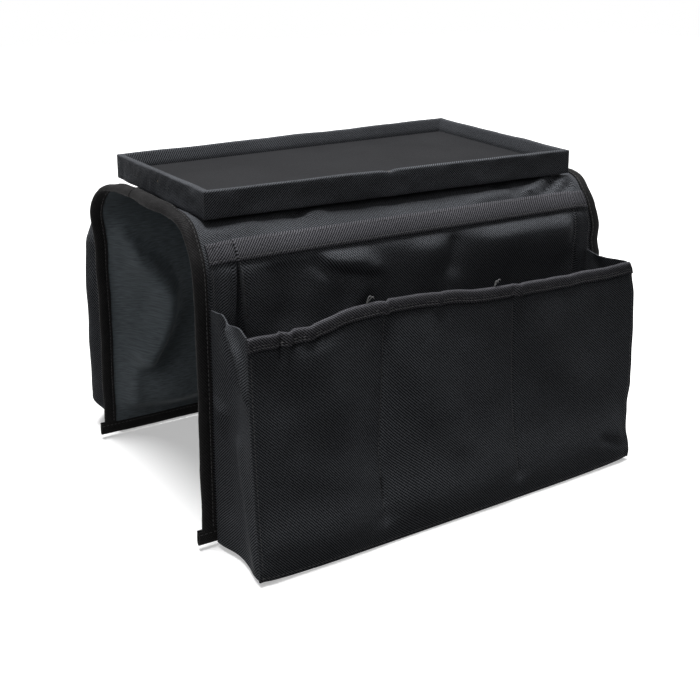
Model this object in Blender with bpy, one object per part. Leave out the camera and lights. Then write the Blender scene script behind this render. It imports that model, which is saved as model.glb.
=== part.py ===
"""Sofa armrest organizer: a cloth saddle with a tray on its deck and a boxy pocket down each side.

Metres, +Z up, +X along the sofa's arm, -Y towards the side with the pleated sleeve. The model is laid
out from the tray's centre line, and the frame empty then centres the whole on the origin.

Every cloth piece is a slab: a grid whose two faces are placed by the cover's section. The section
is a row of points across the arm, from the flat deck round a shoulder and down a flap, and a
distance outside the deck's outer face picks the layer.
"""

import math
from dataclasses import dataclass

import bmesh
import bpy
from mathutils import Matrix, Vector

# Cloth, tape and board
OUTER_CLOTH = 0.0012
LINING_CLOTH = 0.0008
DECK_LINING_CLOTH = 0.002
TAPE = 0.0008
GUSSET_CLOTH = 0.001
SEAM_GAP = 0.0003

# Tray
OVERALL_HEIGHT = 0.236
TRAY_LENGTH = 0.318
TRAY_WIDTH = 0.172
TRAY_HEIGHT = 0.019
TRAY_CORNER = 0.004
TRAY_EDGE = 0.0012
RIM_BOARD = 0.0028
BASE_BOARD = 0.003
ANCHOR_LENGTH = 0.28
ANCHOR_WIDTH = 0.02
ANCHOR_TAPE = 0.001

# Cover: the flat deck reaches further from the tray's centre line at the front than at the rear
COVER_LENGTH = 0.352
FRONT_DECK_HALF = 0.069
REAR_DECK_HALF = 0.045
SHOULDER_RADIUS = 0.034
BINDING_WIDTH = 0.011
HEM_HEIGHT = 0.01
HEM_OVERHANG = 0.003
FOLD_GAP = 0.0009

# Pockets
POCKET_LENGTH = 0.322
POCKET_HEIGHT = 0.157
POCKET_HEM_HEIGHT = 0.009
POCKET_FLOOR_HEIGHT = 0.0006
FRONT_POCKET_DEPTH = 0.059
REAR_POCKET_DEPTH = 0.062
FRONT_POCKET_LEAN = 0.012
REAR_POCKET_LEAN = 0.006
FRONT_HEM_BOW = 0.019
GUSSET_CREASE = 0.004
GUSSET_SAG = 0.004
SLOT_BOTTOM = 0.02
SLOT_BELOW_HEM = 0.003
SLOT_BULGE = 0.0025

# Sleeve on the front flap
SLEEVE_BAND_WIDTH = 0.013
SLEEVE_LIFT = 0.0055
SLEEVE_SIDE_LIFT = 0.0035
SLEEVE_STRIP = 0.005
SLEEVE_SIDE_FOLD = 0.011
PLEAT_INSET = 0.0182
PLEAT_MOUTH = 0.0005
PLEAT_WIDTH = 0.005

# Angles, in radians
FOLD_ANGLE = math.radians(45)
MOUTH_ANGLE = math.radians(51)
REAR_LEAN = math.radians(5)
FOLD_CUT = math.radians(10.5)
ARC_STEP = math.radians(7.5)

# Shares of the sizes that they follow
ROUND_SHARE = 0.5
FRONT_ANCHOR_SHARE = 0.58
REAR_ANCHOR_SHARE = 0.31
POCKET_LEAN_POWER_SHARE = 1.3
BOW_POWER_SHARE = 1.6
# The bow of the front hem: how far along half the pocket it starts, is full, starts to fade and ends
BOW_START_SHARE = -0.75
BOW_FULL_SHARE = -0.48
BOW_FADE_SHARE = -0.24
BOW_END_SHARE = 0.36
SLOT_SEAM_SHARE = 0.33
SLEEVE_SWELL_START_SHARE = 0.12
PLEAT_DEPTH_SHARE = 1.25
PLEAT_OPEN_SHARE = 0.25
PLEAT_CLOSE_SHARE = 0.7

# Worked out: the tray, from the top down
TRAY_BOTTOM = OVERALL_HEIGHT - TRAY_HEIGHT
RIM_WALL = 2 * LINING_CLOTH + 2 * SEAM_GAP + RIM_BOARD
BASE_BOTTOM = TRAY_BOTTOM + LINING_CLOTH + SEAM_GAP
BASE_TOP = BASE_BOTTOM + BASE_BOARD
RIM_BOARD_BOTTOM = BASE_TOP + SEAM_GAP
DECK_TOP = TRAY_BOTTOM - 2 * SEAM_GAP - ANCHOR_TAPE

# Worked out: layers, as distances outside the deck's outer face
OUTER_INSIDE = -OUTER_CLOTH
LINING_OUTSIDE = OUTER_INSIDE - SEAM_GAP
LINING_INSIDE = LINING_OUTSIDE - LINING_CLOTH
DECK_LINING_INSIDE = LINING_OUTSIDE - DECK_LINING_CLOTH
TAPE_OUTSIDE = SEAM_GAP + TAPE
TAPE_INSIDE = LINING_INSIDE - SEAM_GAP - TAPE
TAPE_FOLD = TAPE + SEAM_GAP

# Worked out: the cover's half length, and where its cloth and its tapes end
COVER_HALF = COVER_LENGTH / 2
CLOTH_HALF = COVER_HALF - TAPE_FOLD
BINDING_INNER = COVER_HALF - BINDING_WIDTH
BETWEEN_BINDINGS = BINDING_INNER - SEAM_GAP
SHOULDER_CENTRE_Z = DECK_TOP - SHOULDER_RADIUS

# Worked out: the pocket's half length, and where its gussets and its lining end
POCKET_HALF = POCKET_LENGTH / 2
GUSSET_FRONT = POCKET_HALF - SEAM_GAP
SLOT_HALF = GUSSET_FRONT - GUSSET_CLOTH - SEAM_GAP
POCKET_HEM_LOW = POCKET_HEIGHT - POCKET_HEM_HEIGHT
SLOT_TOP = POCKET_HEM_LOW - SLOT_BELOW_HEM
PLEAT_X = BETWEEN_BINDINGS - PLEAT_INSET


@dataclass(frozen=True)
class Side:
    """One side of the saddle, with the sizes in which the front and the rear differ."""

    name: str
    sign: int
    deck_half: float
    flap_lean: float
    pocket_depth: float
    pocket_lean: float
    hem_bow: float
    anchor_share: float
    sleeve: bool

    @property
    def hang_angle(self):
        """Where the shoulder ends and the flap hangs straight."""
        return math.radians(90) - self.flap_lean

    @property
    def pocket_face(self):
        """How far from the tray's centre line the pocket's outer face stands at the floor."""
        return abs(drop_row(self, 0)(0)[0]) + self.pocket_depth

    @property
    def gusset_foot(self):
        """How far outside the flap's face the gussets and the pocket's floor start."""
        carried = OUTER_CLOTH if self.sleeve else TAPE
        return 2 * SEAM_GAP + carried


FRONT = Side(
    name="front",
    sign=-1,
    deck_half=FRONT_DECK_HALF,
    flap_lean=0,
    pocket_depth=FRONT_POCKET_DEPTH,
    pocket_lean=FRONT_POCKET_LEAN,
    hem_bow=FRONT_HEM_BOW,
    anchor_share=FRONT_ANCHOR_SHARE,
    sleeve=True,
)
REAR = Side(
    name="rear",
    sign=1,
    deck_half=REAR_DECK_HALF,
    flap_lean=REAR_LEAN,
    pocket_depth=REAR_POCKET_DEPTH,
    pocket_lean=REAR_POCKET_LEAN,
    hem_bow=0,
    anchor_share=REAR_ANCHOR_SHARE,
    sleeve=False,
)


def flat_row(y):
    """A row on the flat deck, at this place across the arm."""
    return lambda out: (y, DECK_TOP + out)


def arc_row(side, angle):
    """A row on the shoulder, at this angle from the vertical."""

    def at(out):
        reach = SHOULDER_RADIUS + out
        y = side.deck_half + reach * math.sin(angle)
        return side.sign * y, SHOULDER_CENTRE_Z + reach * math.cos(angle)

    return at


def fold_row(side, towards):
    """The row beside the fold line, cut back so that the flap can swing inwards.

    towards is -1 for the deck's edge and +1 for the flap's.
    """

    def at(out):
        reach = SHOULDER_RADIUS + out
        back = towards * (FOLD_GAP / 2 + (TAPE_OUTSIDE - out) * math.tan(FOLD_CUT))
        y = side.deck_half + reach * math.sin(FOLD_ANGLE) + back * math.cos(FOLD_ANGLE)
        z = SHOULDER_CENTRE_Z + reach * math.cos(FOLD_ANGLE) - back * math.sin(FOLD_ANGLE)
        return side.sign * y, z

    return at


def drop_row(side, height):
    """A row on the hanging flap, at this height over the floor."""

    def at(out):
        y, z = arc_row(side, side.hang_angle)(out)
        return y + side.sign * (z - height) * math.tan(side.flap_lean), height

    return at


def spaced(start, end, step):
    """Values from start to end, both included, no further apart than step."""
    count = max(1, math.ceil(abs(end - start) / step - 1e-6))
    return [start + (end - start) * i / count for i in range(count + 1)]


def deck_rows():
    """The deck's section from the rear fold line to the front one."""
    rear = [arc_row(REAR, angle) for angle in spaced(FOLD_ANGLE, 0, ARC_STEP)[1:]]
    front = [arc_row(FRONT, angle) for angle in spaced(0, FOLD_ANGLE, ARC_STEP)[:-1]]
    return [fold_row(REAR, -1)] + rear + front + [fold_row(FRONT, -1)]


def flap_rows(side, bottom):
    """A flap's section from the fold line down to this height."""
    arc = [arc_row(side, angle) for angle in spaced(FOLD_ANGLE, side.hang_angle, ARC_STEP)[1:]]
    return [fold_row(side, 1)] + arc + [drop_row(side, bottom)]


def fold_axis(side):
    """A point on the line that a flap folds about, on the outside of the binding tapes."""
    return Vector((0, *arc_row(side, FOLD_ANGLE)(TAPE_OUTSIDE)))


# The parts' collection, the cutters' collection and the materials


def collection(name):
    made = bpy.data.collections.new(name)
    bpy.context.scene.collection.children.link(made)
    return made


def material(name, colour, roughness):
    """A Principled BSDF of this linear colour."""
    made = bpy.data.materials.new(name)
    made.use_nodes = True
    shader = made.node_tree.nodes["Principled BSDF"]
    shader.inputs["Base Color"].default_value = (*colour, 1)
    shader.inputs["Roughness"].default_value = roughness
    shader.inputs["Metallic"].default_value = 0
    made.diffuse_color = (*colour, 1)
    return made


def finishes():
    """The five materials, by the word that the pieces name them with."""
    return {
        "outer": material("outer_cloth", (0.014, 0.014, 0.016), 0.85),
        "lining": material("lining_cloth", (0.020, 0.023, 0.028), 0.45),
        "tape": material("edge_tape", (0.006, 0.006, 0.007), 0.9),
        "tray": material("tray_cloth", (0.030, 0.030, 0.033), 0.8),
        "board": material("stiff_board", (0.19, 0.13, 0.075), 0.95),
    }


# Builders


class Workshop:
    """Holds the collections, the materials and the empties that the pieces are put under."""

    def __init__(self):
        self.parts = collection("sofa_armrest_organizer")
        self.cutters = collection("cutters")
        self.finishes = finishes()
        shift = (FRONT.pocket_face - REAR.pocket_face) / 2
        self.frame = self.empty("frame", Vector((0, shift, 0)), None)

    def empty(self, name, place, parent):
        """An empty at this place in the model's layout."""
        made = bpy.data.objects.new(name, None)
        self.parts.objects.link(made)
        made.parent = parent
        made.location = place
        made["place"] = place if parent else Vector((0, 0, 0))
        return made

    def piece(self, name, mesh, finish, carrier):
        """An object of this mesh, which is laid out in the frame, with its origin on its carrier."""
        mesh.transform(Matrix.Translation(-Vector(carrier["place"])))
        mesh.materials.append(self.finishes[finish])
        made = bpy.data.objects.new(name, mesh)
        self.parts.objects.link(made)
        made.parent = carrier
        return made

    def cutter(self, name, mesh):
        """A helper that a Boolean takes away from a piece."""
        made = bpy.data.objects.new(name, mesh)
        self.cutters.objects.link(made)
        made.parent = self.frame
        made.hide_render = True
        made.display_type = "WIRE"
        return made


def mesh_from(bm, name):
    """A mesh of this name from a finished bmesh, with its faces turned outwards."""
    bmesh.ops.recalc_face_normals(bm, faces=bm.faces[:])
    if bm.calc_volume(signed=True) < 0:
        bmesh.ops.reverse_faces(bm, faces=bm.faces[:])
    mesh = bpy.data.meshes.new(name)
    bm.to_mesh(mesh)
    bm.free()
    return mesh


def slab(name, columns, rows, outer, inner):
    """A closed sheet on a grid, whose faces outer and inner place for each column and row."""
    bm = bmesh.new()
    last_column, last_row = len(columns) - 1, len(rows) - 1
    bmesh.ops.create_grid(bm, x_segments=last_column, y_segments=last_row, size=1)
    raised = set(bmesh.ops.extrude_face_region(bm, geom=bm.faces[:])["geom"])
    for vert in bm.verts:
        column = columns[round((vert.co.x + 1) / 2 * last_column)]
        row = rows[round((vert.co.y + 1) / 2 * last_row)]
        vert.co = outer(column, row) if vert in raised else inner(column, row)
    return mesh_from(bm, name)


def layer(name, columns, rows, outside, inside):
    """A sheet of the cover between two distances outside the deck's outer face."""

    def at(out):
        return lambda x, row: (x, *row(out))

    return slab(name, columns, rows, at(outside), at(inside))


def tape_stations(open_end, fold_end, outside, inside):
    """A folded tape's U as pairs of an outside and an inside point, from one leg's edge to the other's."""
    back = math.copysign(TAPE, fold_end - open_end)
    return [
        ((open_end, outside), (open_end, outside - TAPE)),
        ((fold_end, outside), (fold_end - back, outside - TAPE)),
        ((fold_end, inside), (fold_end - back, inside + TAPE)),
        ((open_end, inside), (open_end, inside + TAPE)),
    ]


def side_tape(name, hand, rows):
    """A tape folded round the cover's edge at one end, along these rows."""
    stations = tape_stations(hand * BINDING_INNER, hand * COVER_HALF, TAPE_OUTSIDE, TAPE_INSIDE)

    def at(face):
        return lambda station, row: (station[face][0], *row(station[face][1]))

    return slab(name, stations, rows, at(0), at(1))


def box(size, centre, corner=0, edge=0):
    """A box with rounded upright corners, and rounded top edges where edge isn't zero."""
    bm = bmesh.new()
    bmesh.ops.create_cube(bm, size=1)
    bmesh.ops.scale(bm, vec=size, verts=bm.verts[:])
    if corner:
        upright = [e for e in bm.edges if abs(e.verts[0].co.z - e.verts[1].co.z) > size[2] / 2]
        bmesh.ops.bevel(bm, geom=upright, offset=corner, segments=4, profile=ROUND_SHARE, affect="EDGES")
    if edge:
        top = [e for e in bm.edges if min(v.co.z for v in e.verts) > size[2] / 4]
        bmesh.ops.bevel(bm, geom=top, offset=edge, segments=2, profile=ROUND_SHARE, affect="EDGES")
    bmesh.ops.translate(bm, vec=centre, verts=bm.verts[:])
    return bm


def slab_box(length, width, bottom, top, corner=0, edge=0):
    """A box centred on the tray, between two heights."""
    return box((length, width, top - bottom), (0, 0, (bottom + top) / 2), corner, edge)


def cut(piece, cutter):
    """Takes the cutter away from the piece."""
    boolean = piece.modifiers.new(cutter.name, "BOOLEAN")
    boolean.operation = "DIFFERENCE"
    boolean.solver = "EXACT"
    boolean.object = cutter


def hands():
    """The two ends of the object, as a name and a sign along X."""
    return (("left", -1), ("right", 1))


# Tray


def make_tray_boards(shop):
    """The stiff boards hidden in the tray's floor and walls."""
    inset = LINING_CLOTH + SEAM_GAP
    length, width = TRAY_LENGTH - 2 * inset, TRAY_WIDTH - 2 * inset
    board_top = OVERALL_HEIGHT - inset
    base = slab_box(length, width, BASE_BOTTOM, BASE_TOP, TRAY_CORNER - inset)
    shop.piece("tray_base_board", mesh_from(base, "tray_base_board"), "board", shop.frame)
    tall = board_top - RIM_BOARD_BOTTOM
    middle = (board_top + RIM_BOARD_BOTTOM) / 2
    across = (width - RIM_BOARD) / 2
    between = width - 2 * RIM_BOARD - 2 * SEAM_GAP
    for side in (FRONT, REAR):
        size = (length - 2 * TRAY_CORNER, RIM_BOARD, tall)
        mesh = mesh_from(box(size, (0, side.sign * across, middle)), side.name)
        shop.piece(f"tray_rim_board_{side.name}", mesh, "board", shop.frame)
    for name, hand in hands():
        size = (RIM_BOARD, between, tall)
        mesh = mesh_from(box(size, (hand * (length - RIM_BOARD) / 2, 0, middle)), name)
        shop.piece(f"tray_rim_board_{name}", mesh, "board", shop.frame)


def make_rim_cover(shop):
    """The cloth that wraps the walls: a ring with a well through it and a groove for the boards."""
    overrun = TRAY_HEIGHT
    wrap = 2 * LINING_CLOTH
    wall = 2 * RIM_WALL
    outer = slab_box(TRAY_LENGTH, TRAY_WIDTH, TRAY_BOTTOM, OVERALL_HEIGHT, TRAY_CORNER, TRAY_EDGE)
    cover = shop.piece("tray_rim_cover", mesh_from(outer, "tray_rim_cover"), "tray", shop.frame)
    below = TRAY_BOTTOM - overrun
    corner = TRAY_CORNER - LINING_CLOTH
    well = slab_box(TRAY_LENGTH - wall, TRAY_WIDTH - wall, below, OVERALL_HEIGHT + overrun)
    base = slab_box(TRAY_LENGTH - wrap, TRAY_WIDTH - wrap, below, RIM_BOARD_BOTTOM, corner)
    groove_top = OVERALL_HEIGHT - LINING_CLOTH
    groove = slab_box(TRAY_LENGTH - wrap, TRAY_WIDTH - wrap, BASE_BOTTOM, groove_top, corner)
    core_wall = wall - wrap
    core = slab_box(
        TRAY_LENGTH - core_wall, TRAY_WIDTH - core_wall, below, OVERALL_HEIGHT + overrun
    )
    groove_cutter = shop.cutter("groove_cutter", mesh_from(groove, "groove_cutter"))
    cut(groove_cutter, shop.cutter("groove_core", mesh_from(core, "groove_core")))
    cut(cover, shop.cutter("well_cutter", mesh_from(well, "well_cutter")))
    cut(cover, groove_cutter)
    cut(cover, shop.cutter("base_cutter", mesh_from(base, "base_cutter")))


def make_tray_cloth(shop):
    """The cloth on the tray's floor and under its board, each inside the rim cover."""
    room = 2 * RIM_WALL + 2 * SEAM_GAP
    floor_bottom = BASE_TOP + SEAM_GAP
    floor = slab_box(TRAY_LENGTH - room, TRAY_WIDTH - room, floor_bottom, floor_bottom + LINING_CLOTH)
    shop.piece("tray_floor_cloth", mesh_from(floor, "tray_floor_cloth"), "tray", shop.frame)
    inset = LINING_CLOTH + SEAM_GAP
    length, width = TRAY_LENGTH - 2 * inset, TRAY_WIDTH - 2 * inset
    under = slab_box(length, width, TRAY_BOTTOM, TRAY_BOTTOM + LINING_CLOTH, TRAY_CORNER - inset)
    shop.piece("tray_underside_cloth", mesh_from(under, "tray_underside_cloth"), "tape", shop.frame)


def make_anchor_tapes(shop):
    """The two strips that hold the tray on the deck."""
    middle = DECK_TOP + SEAM_GAP + ANCHOR_TAPE / 2
    for side in (FRONT, REAR):
        across = side.sign * side.anchor_share * TRAY_WIDTH / 2
        strip = box((ANCHOR_LENGTH, ANCHOR_WIDTH, ANCHOR_TAPE), (0, across, middle))
        mesh = mesh_from(strip, side.name)
        shop.piece(f"tray_anchor_tape_{side.name}", mesh, "tape", shop.frame)


# Deck and flaps


def make_deck(shop):
    """The saddle's top: outer cloth, the thicker lining that lies on the arm, and the end tapes."""
    rows = deck_rows()
    ends = [-CLOTH_HALF, CLOTH_HALF]
    panel = layer("deck_panel", ends, rows, 0, OUTER_INSIDE)
    shop.piece("deck_panel", panel, "outer", shop.frame)

    step = [BETWEEN_BINDINGS, BETWEEN_BINDINGS + SEAM_GAP / 2]
    columns = [-CLOTH_HALF, -step[1], -step[0], step[0], step[1], CLOTH_HALF]

    def lining_outer(x, row):
        return (x, *row(LINING_OUTSIDE))

    def lining_inner(x, row):
        return (x, *row(DECK_LINING_INSIDE if abs(x) <= BETWEEN_BINDINGS else LINING_INSIDE))

    lining = slab("deck_lining", columns, rows, lining_outer, lining_inner)
    shop.piece("deck_lining", lining, "lining", shop.frame)
    for name, hand in hands():
        tape = side_tape(f"deck_binding_{name}", hand, rows)
        shop.piece(f"deck_binding_{name}", tape, "tape", shop.frame)


def make_flap(shop, side, carrier):
    """A flap below its fold line: outer cloth, lining, end tapes and the bottom hem."""
    ends = [-CLOTH_HALF, CLOTH_HALF]
    rows = flap_rows(side, TAPE_FOLD)
    panel = layer(f"{side.name}_flap_panel", ends, rows, 0, OUTER_INSIDE)
    shop.piece(f"{side.name}_flap_panel", panel, "outer", carrier)
    lining = layer(f"{side.name}_flap_lining", ends, rows, LINING_OUTSIDE, LINING_INSIDE)
    shop.piece(f"{side.name}_flap_lining", lining, "lining", carrier)
    tape_rows = flap_rows(side, HEM_HEIGHT + SEAM_GAP)
    for name, hand in hands():
        tape = side_tape(f"{side.name}_binding_{name}", hand, tape_rows)
        shop.piece(f"{side.name}_binding_{name}", tape, "tape", carrier)

    stations = tape_stations(HEM_HEIGHT, 0, TAPE_OUTSIDE, TAPE_INSIDE)
    reach = COVER_HALF + HEM_OVERHANG

    def at(face):
        return lambda x, station: (x, *drop_row(side, station[face][0])(station[face][1]))

    hem = slab(f"{side.name}_bottom_hem", [-reach, reach], stations, at(0), at(1))
    shop.piece(f"{side.name}_bottom_hem", hem, "tape", carrier)


# Sleeve


def smooth(start, end, value):
    """0 before start, 1 after end, and a smooth rise between them."""
    share = min(1, max(0, (value - start) / (end - start)))
    return share * share * (3 - 2 * share)


def swell(share):
    """How far the sleeve stands off the flap, as a share of its most, from its mouth down."""
    start = SLEEVE_SWELL_START_SHARE
    return math.sin(math.pi * (start + (1 - start) * share))


def pleat_half_width(share):
    """Half the pleat's width, from its mouth down: it opens, then closes again at the bottom."""
    opened = smooth(0, PLEAT_OPEN_SHARE, share) * (1 - smooth(PLEAT_CLOSE_SHARE, 1, share))
    return (PLEAT_MOUTH + (PLEAT_WIDTH - PLEAT_MOUTH) * opened) / 2


def sleeve_columns():
    """Places along the sleeve: plain ones, and the pleats' lips and bottoms by name."""
    side_fold = BETWEEN_BINDINGS - SLEEVE_SIDE_FOLD
    strip = BETWEEN_BINDINGS - SLEEVE_STRIP
    main = spaced(0, PLEAT_X - PLEAT_WIDTH, PLEAT_X / 5)
    half = [(x, "plain") for x in main]
    half += [(PLEAT_X, "inner lip"), (PLEAT_X, "pleat"), (PLEAT_X, "outer lip")]
    half += [(x, "plain") for x in (side_fold, (side_fold + strip) / 2, strip, BETWEEN_BINDINGS)]
    return [(-x, kind) for x, kind in reversed(half[1:])] + half


def sleeve_point(column, share):
    """The place along X and the lift off the flap of one of the sleeve's points."""
    x, kind = column
    half_width = pleat_half_width(share)
    beside = {"inner lip": -half_width, "outer lip": half_width}.get(kind, 0)
    inside = abs(x) < PLEAT_X or kind == "inner lip"
    most = SLEEVE_LIFT if inside else SLEEVE_SIDE_LIFT
    fold, strip = BETWEEN_BINDINGS - SLEEVE_SIDE_FOLD, BETWEEN_BINDINGS - SLEEVE_STRIP
    lift = most * swell(share) * (1 - smooth(fold, strip, abs(x)))
    if kind == "pleat":
        lift = max(0, lift - PLEAT_DEPTH_SHARE * half_width)
    return x + beside * math.copysign(1, x), SEAM_GAP + lift


def sleeve_arc():
    """The angles of the sleeve's rows on the shoulder: those under its band, then those below it."""
    top = MOUTH_ANGLE + TAPE_FOLD / SHOULDER_RADIUS
    band_low = MOUTH_ANGLE + SLEEVE_BAND_WIDTH / SHOULDER_RADIUS
    return spaced(top, band_low, ARC_STEP), spaced(band_low, FRONT.hang_angle, ARC_STEP)


def sleeve_share(down):
    """The share of the sleeve's height at this distance down from its mouth."""
    top = sleeve_arc()[0][0]
    bottom = HEM_HEIGHT + 2 * SEAM_GAP
    whole = SHOULDER_RADIUS * (FRONT.hang_angle - top) + SHOULDER_CENTRE_Z - bottom
    return max(0, down / whole)


def sleeve_angle_share(angle):
    """The share of the sleeve's height at this angle on the shoulder."""
    return sleeve_share(SHOULDER_RADIUS * (angle - sleeve_arc()[0][0]))


def sleeve_rows():
    """The sleeve's rows as a share down from the mouth and a row of the front flap's section."""
    under_band, below = sleeve_arc()
    bottom = HEM_HEIGHT + 2 * SEAM_GAP
    drops = spaced(SHOULDER_CENTRE_Z, bottom, (SHOULDER_CENTRE_Z - bottom) / 8)[1:]
    arc_length = SHOULDER_RADIUS * (FRONT.hang_angle - under_band[0])
    rows = [(sleeve_angle_share(angle), arc_row(FRONT, angle)) for angle in under_band + below[1:]]
    fallen = [arc_length + SHOULDER_CENTRE_Z - z for z in drops]
    return rows + [(sleeve_share(f), drop_row(FRONT, z)) for f, z in zip(fallen, drops)]


def make_sleeve_panel(shop, carrier):
    """The pleated sleeve, sewn to the front flap at its sides and bottom."""

    def at(out):
        def place(column, row):
            share, section = row
            x, lift = sleeve_point(column, share)
            return (x, *section(lift + out))

        return place

    panel = slab("front_sleeve_panel", sleeve_columns(), sleeve_rows(), at(OUTER_CLOTH), at(0))
    shop.piece("front_sleeve_panel", panel, "outer", carrier)


def make_sleeve_hem(shop, carrier):
    """The band along the sleeve's mouth, turned over its top edge down to the flap."""
    inside = OUTER_CLOTH + SEAM_GAP
    inner_angle = MOUTH_ANGLE + TAPE / SHOULDER_RADIUS
    # Each station holds, for the band's outside and inside, an angle and whether it is at the flap
    stations = [((angle, False), (angle, False)) for angle in reversed(sleeve_arc()[0])]
    stations.append(((MOUTH_ANGLE, False), (inner_angle, False)))
    stations.append(((MOUTH_ANGLE, True), (inner_angle, True)))

    def at(face, out):
        def place(column, station):
            angle, at_flap = station[face]
            x, lift = sleeve_point(column, sleeve_angle_share(angle))
            return (x, *arc_row(FRONT, angle)(SEAM_GAP if at_flap else lift + out))

        return place

    band = slab(
        "front_sleeve_hem", sleeve_columns(), stations, at(0, inside + TAPE), at(1, inside)
    )
    shop.piece("front_sleeve_hem", band, "tape", carrier)


# Pockets


def pocket_out(side, x, height):
    """How far from the tray's centre line the pocket's outer face stands."""
    up = height / POCKET_HEIGHT
    along = x / POCKET_HALF
    rise = smooth(BOW_START_SHARE, BOW_FULL_SHARE, along)
    fall = 1 - smooth(BOW_FADE_SHARE, BOW_END_SHARE, along)
    bow = side.hem_bow * rise * fall * up**BOW_POWER_SHARE
    return side.pocket_face - side.pocket_lean * up**POCKET_LEAN_POWER_SHARE - bow


def pocket_columns(side, half):
    """Places along a pocket, the same ones for each sheet that lies on another, and its two ends."""
    count = 28 if side.hem_bow else 12
    places = spaced(-POCKET_HALF, POCKET_HALF, POCKET_LENGTH / count)
    return [-half] + [x for x in places[1:-1] if abs(x) < half] + [half]


def pocket_sheet(name, side, columns, heights, outside, inside):
    """A sheet of the pocket's wall between two distances outside its outer face."""

    def at(out):
        return lambda x, z: (x, side.sign * (pocket_out(side, x, z) + out(x)), z)

    return slab(name, columns, heights, at(outside), at(inside))


def make_pocket_wall(shop, side, carrier):
    """The outer wall of a pocket, the hem along its top and the second layer behind it."""
    name = side.name
    columns = pocket_columns(side, POCKET_HALF)
    slot_columns = pocket_columns(side, SLOT_HALF)
    top = POCKET_HEIGHT - TAPE_FOLD
    slot_heights = spaced(SLOT_BOTTOM, SLOT_TOP, (SLOT_TOP - SLOT_BOTTOM) / 6)
    heights = [0, *slot_heights, POCKET_HEM_LOW, top]
    panel = pocket_sheet(
        f"{name}_pocket_panel", side, columns, heights, lambda x: 0, lambda x: -OUTER_CLOTH
    )
    shop.piece(f"{name}_pocket_panel", panel, "outer", carrier)

    seam = SLOT_SEAM_SHARE * SLOT_HALF

    def slot_gap(x):
        """The second layer bellies between its seams and its ends."""
        start, end = (-seam, seam) if abs(x) < seam else (seam, SLOT_HALF)
        share = (abs(x) - start) / (end - start) if abs(x) >= seam else (x - start) / (end - start)
        return -OUTER_CLOTH - SEAM_GAP - SLOT_BULGE * math.sin(math.pi * min(1, max(0, share)))

    slot = pocket_sheet(
        f"{name}_slot_lining",
        side,
        slot_columns,
        slot_heights,
        slot_gap,
        lambda x: slot_gap(x) - LINING_CLOTH,
    )
    shop.piece(f"{name}_slot_lining", slot, "lining", carrier)

    stations = tape_stations(POCKET_HEM_LOW, POCKET_HEIGHT, TAPE_OUTSIDE, -OUTER_CLOTH - TAPE_OUTSIDE)

    def at(face):
        def place(x, station):
            z, out = station[face]
            return (x, side.sign * (pocket_out(side, x, z) + out), z)

        return place

    hem = slab(f"{name}_pocket_hem", columns, stations, at(0), at(1))
    shop.piece(f"{name}_pocket_hem", hem, "tape", carrier)


def gusset_span(side, height):
    """Where a gusset starts at the flap and ends behind the pocket's wall, at this height."""
    start = abs(drop_row(side, height)(side.gusset_foot)[0])
    end = pocket_out(side, POCKET_HALF, height) - OUTER_CLOTH - TAPE_FOLD - SEAM_GAP
    return start, end


def gusset_x(share):
    """The gusset's outer face along X, from the flap to the pocket's wall, with its crease."""
    straight = BETWEEN_BINDINGS + (GUSSET_FRONT - BETWEEN_BINDINGS) * share
    return straight - GUSSET_CREASE * math.sin(math.pi * share) ** 2


def make_gussets(shop, side, carrier):
    """The two folding ends of a pocket and its floor, which give as the pocket collapses."""
    heights = spaced(POCKET_FLOOR_HEIGHT, POCKET_HEIGHT, POCKET_HEIGHT / 6)
    shares = spaced(0, 1, 1 / 8)

    def top_sag(share, height):
        return GUSSET_SAG * math.sin(math.pi * share) * (height / POCKET_HEIGHT) ** 4

    for name, hand in hands():

        def at(inset, hand=hand):
            def place(share, height):
                start, end = gusset_span(side, height)
                y = start + (end - start) * share
                return (hand * (gusset_x(share) - inset), side.sign * y, height - top_sag(share, height))

            return place

        mesh = slab(f"{side.name}_gusset_{name}", shares, heights, at(0), at(GUSSET_CLOTH))
        shop.piece(f"{side.name}_gusset_{name}", mesh, "outer", carrier)

    floor_top = POCKET_FLOOR_HEIGHT + GUSSET_CLOTH

    def floor_at(height):
        def place(along, share):
            start, end = gusset_span(side, height)
            x = along * (gusset_x(share) - GUSSET_CLOTH - SEAM_GAP)
            return (x, side.sign * (start + (end - start) * share), height)

        return place

    floor = slab(
        f"{side.name}_pocket_floor", [-1, 1], shares, floor_at(floor_top), floor_at(POCKET_FLOOR_HEIGHT)
    )
    shop.piece(f"{side.name}_pocket_floor", floor, "outer", carrier)


def clear_scene():
    for existing in list(bpy.data.objects):
        bpy.data.objects.remove(existing, do_unlink=True)


def main():
    clear_scene()
    shop = Workshop()
    make_tray_boards(shop)
    make_rim_cover(shop)
    make_tray_cloth(shop)
    make_anchor_tapes(shop)
    make_deck(shop)
    for side in (FRONT, REAR):
        fold = shop.empty(f"{side.name}_fold", fold_axis(side), shop.frame)
        make_flap(shop, side, fold)
        if side.sleeve:
            make_sleeve_panel(shop, fold)
            make_sleeve_hem(shop, fold)
        make_gussets(shop, side, fold)
        foot = Vector((0, side.sign * side.pocket_face, 0))
        rest = shop.empty(f"{side.name}_pocket_foot", foot, shop.frame)
        make_pocket_wall(shop, side, rest)


if __name__ == "__main__":
    main()
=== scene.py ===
"""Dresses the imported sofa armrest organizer: its cloth, lining, tapes, stitching and tray.

Metres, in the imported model's frame: +X along the sofa's arm, -Y towards the side with the pleated
sleeve, +Z up. A place on the cover is an x along the arm and a distance down, which runs from the
tray's centre line over the deck, round the shoulder and down the flap.
"""

import logging
import math
from dataclasses import dataclass, field, replace
from enum import Enum
from functools import cached_property
from typing import Callable, Iterable, Optional, Sequence

import bmesh
import bpy
from mathutils import Matrix, Vector, noise


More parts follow.
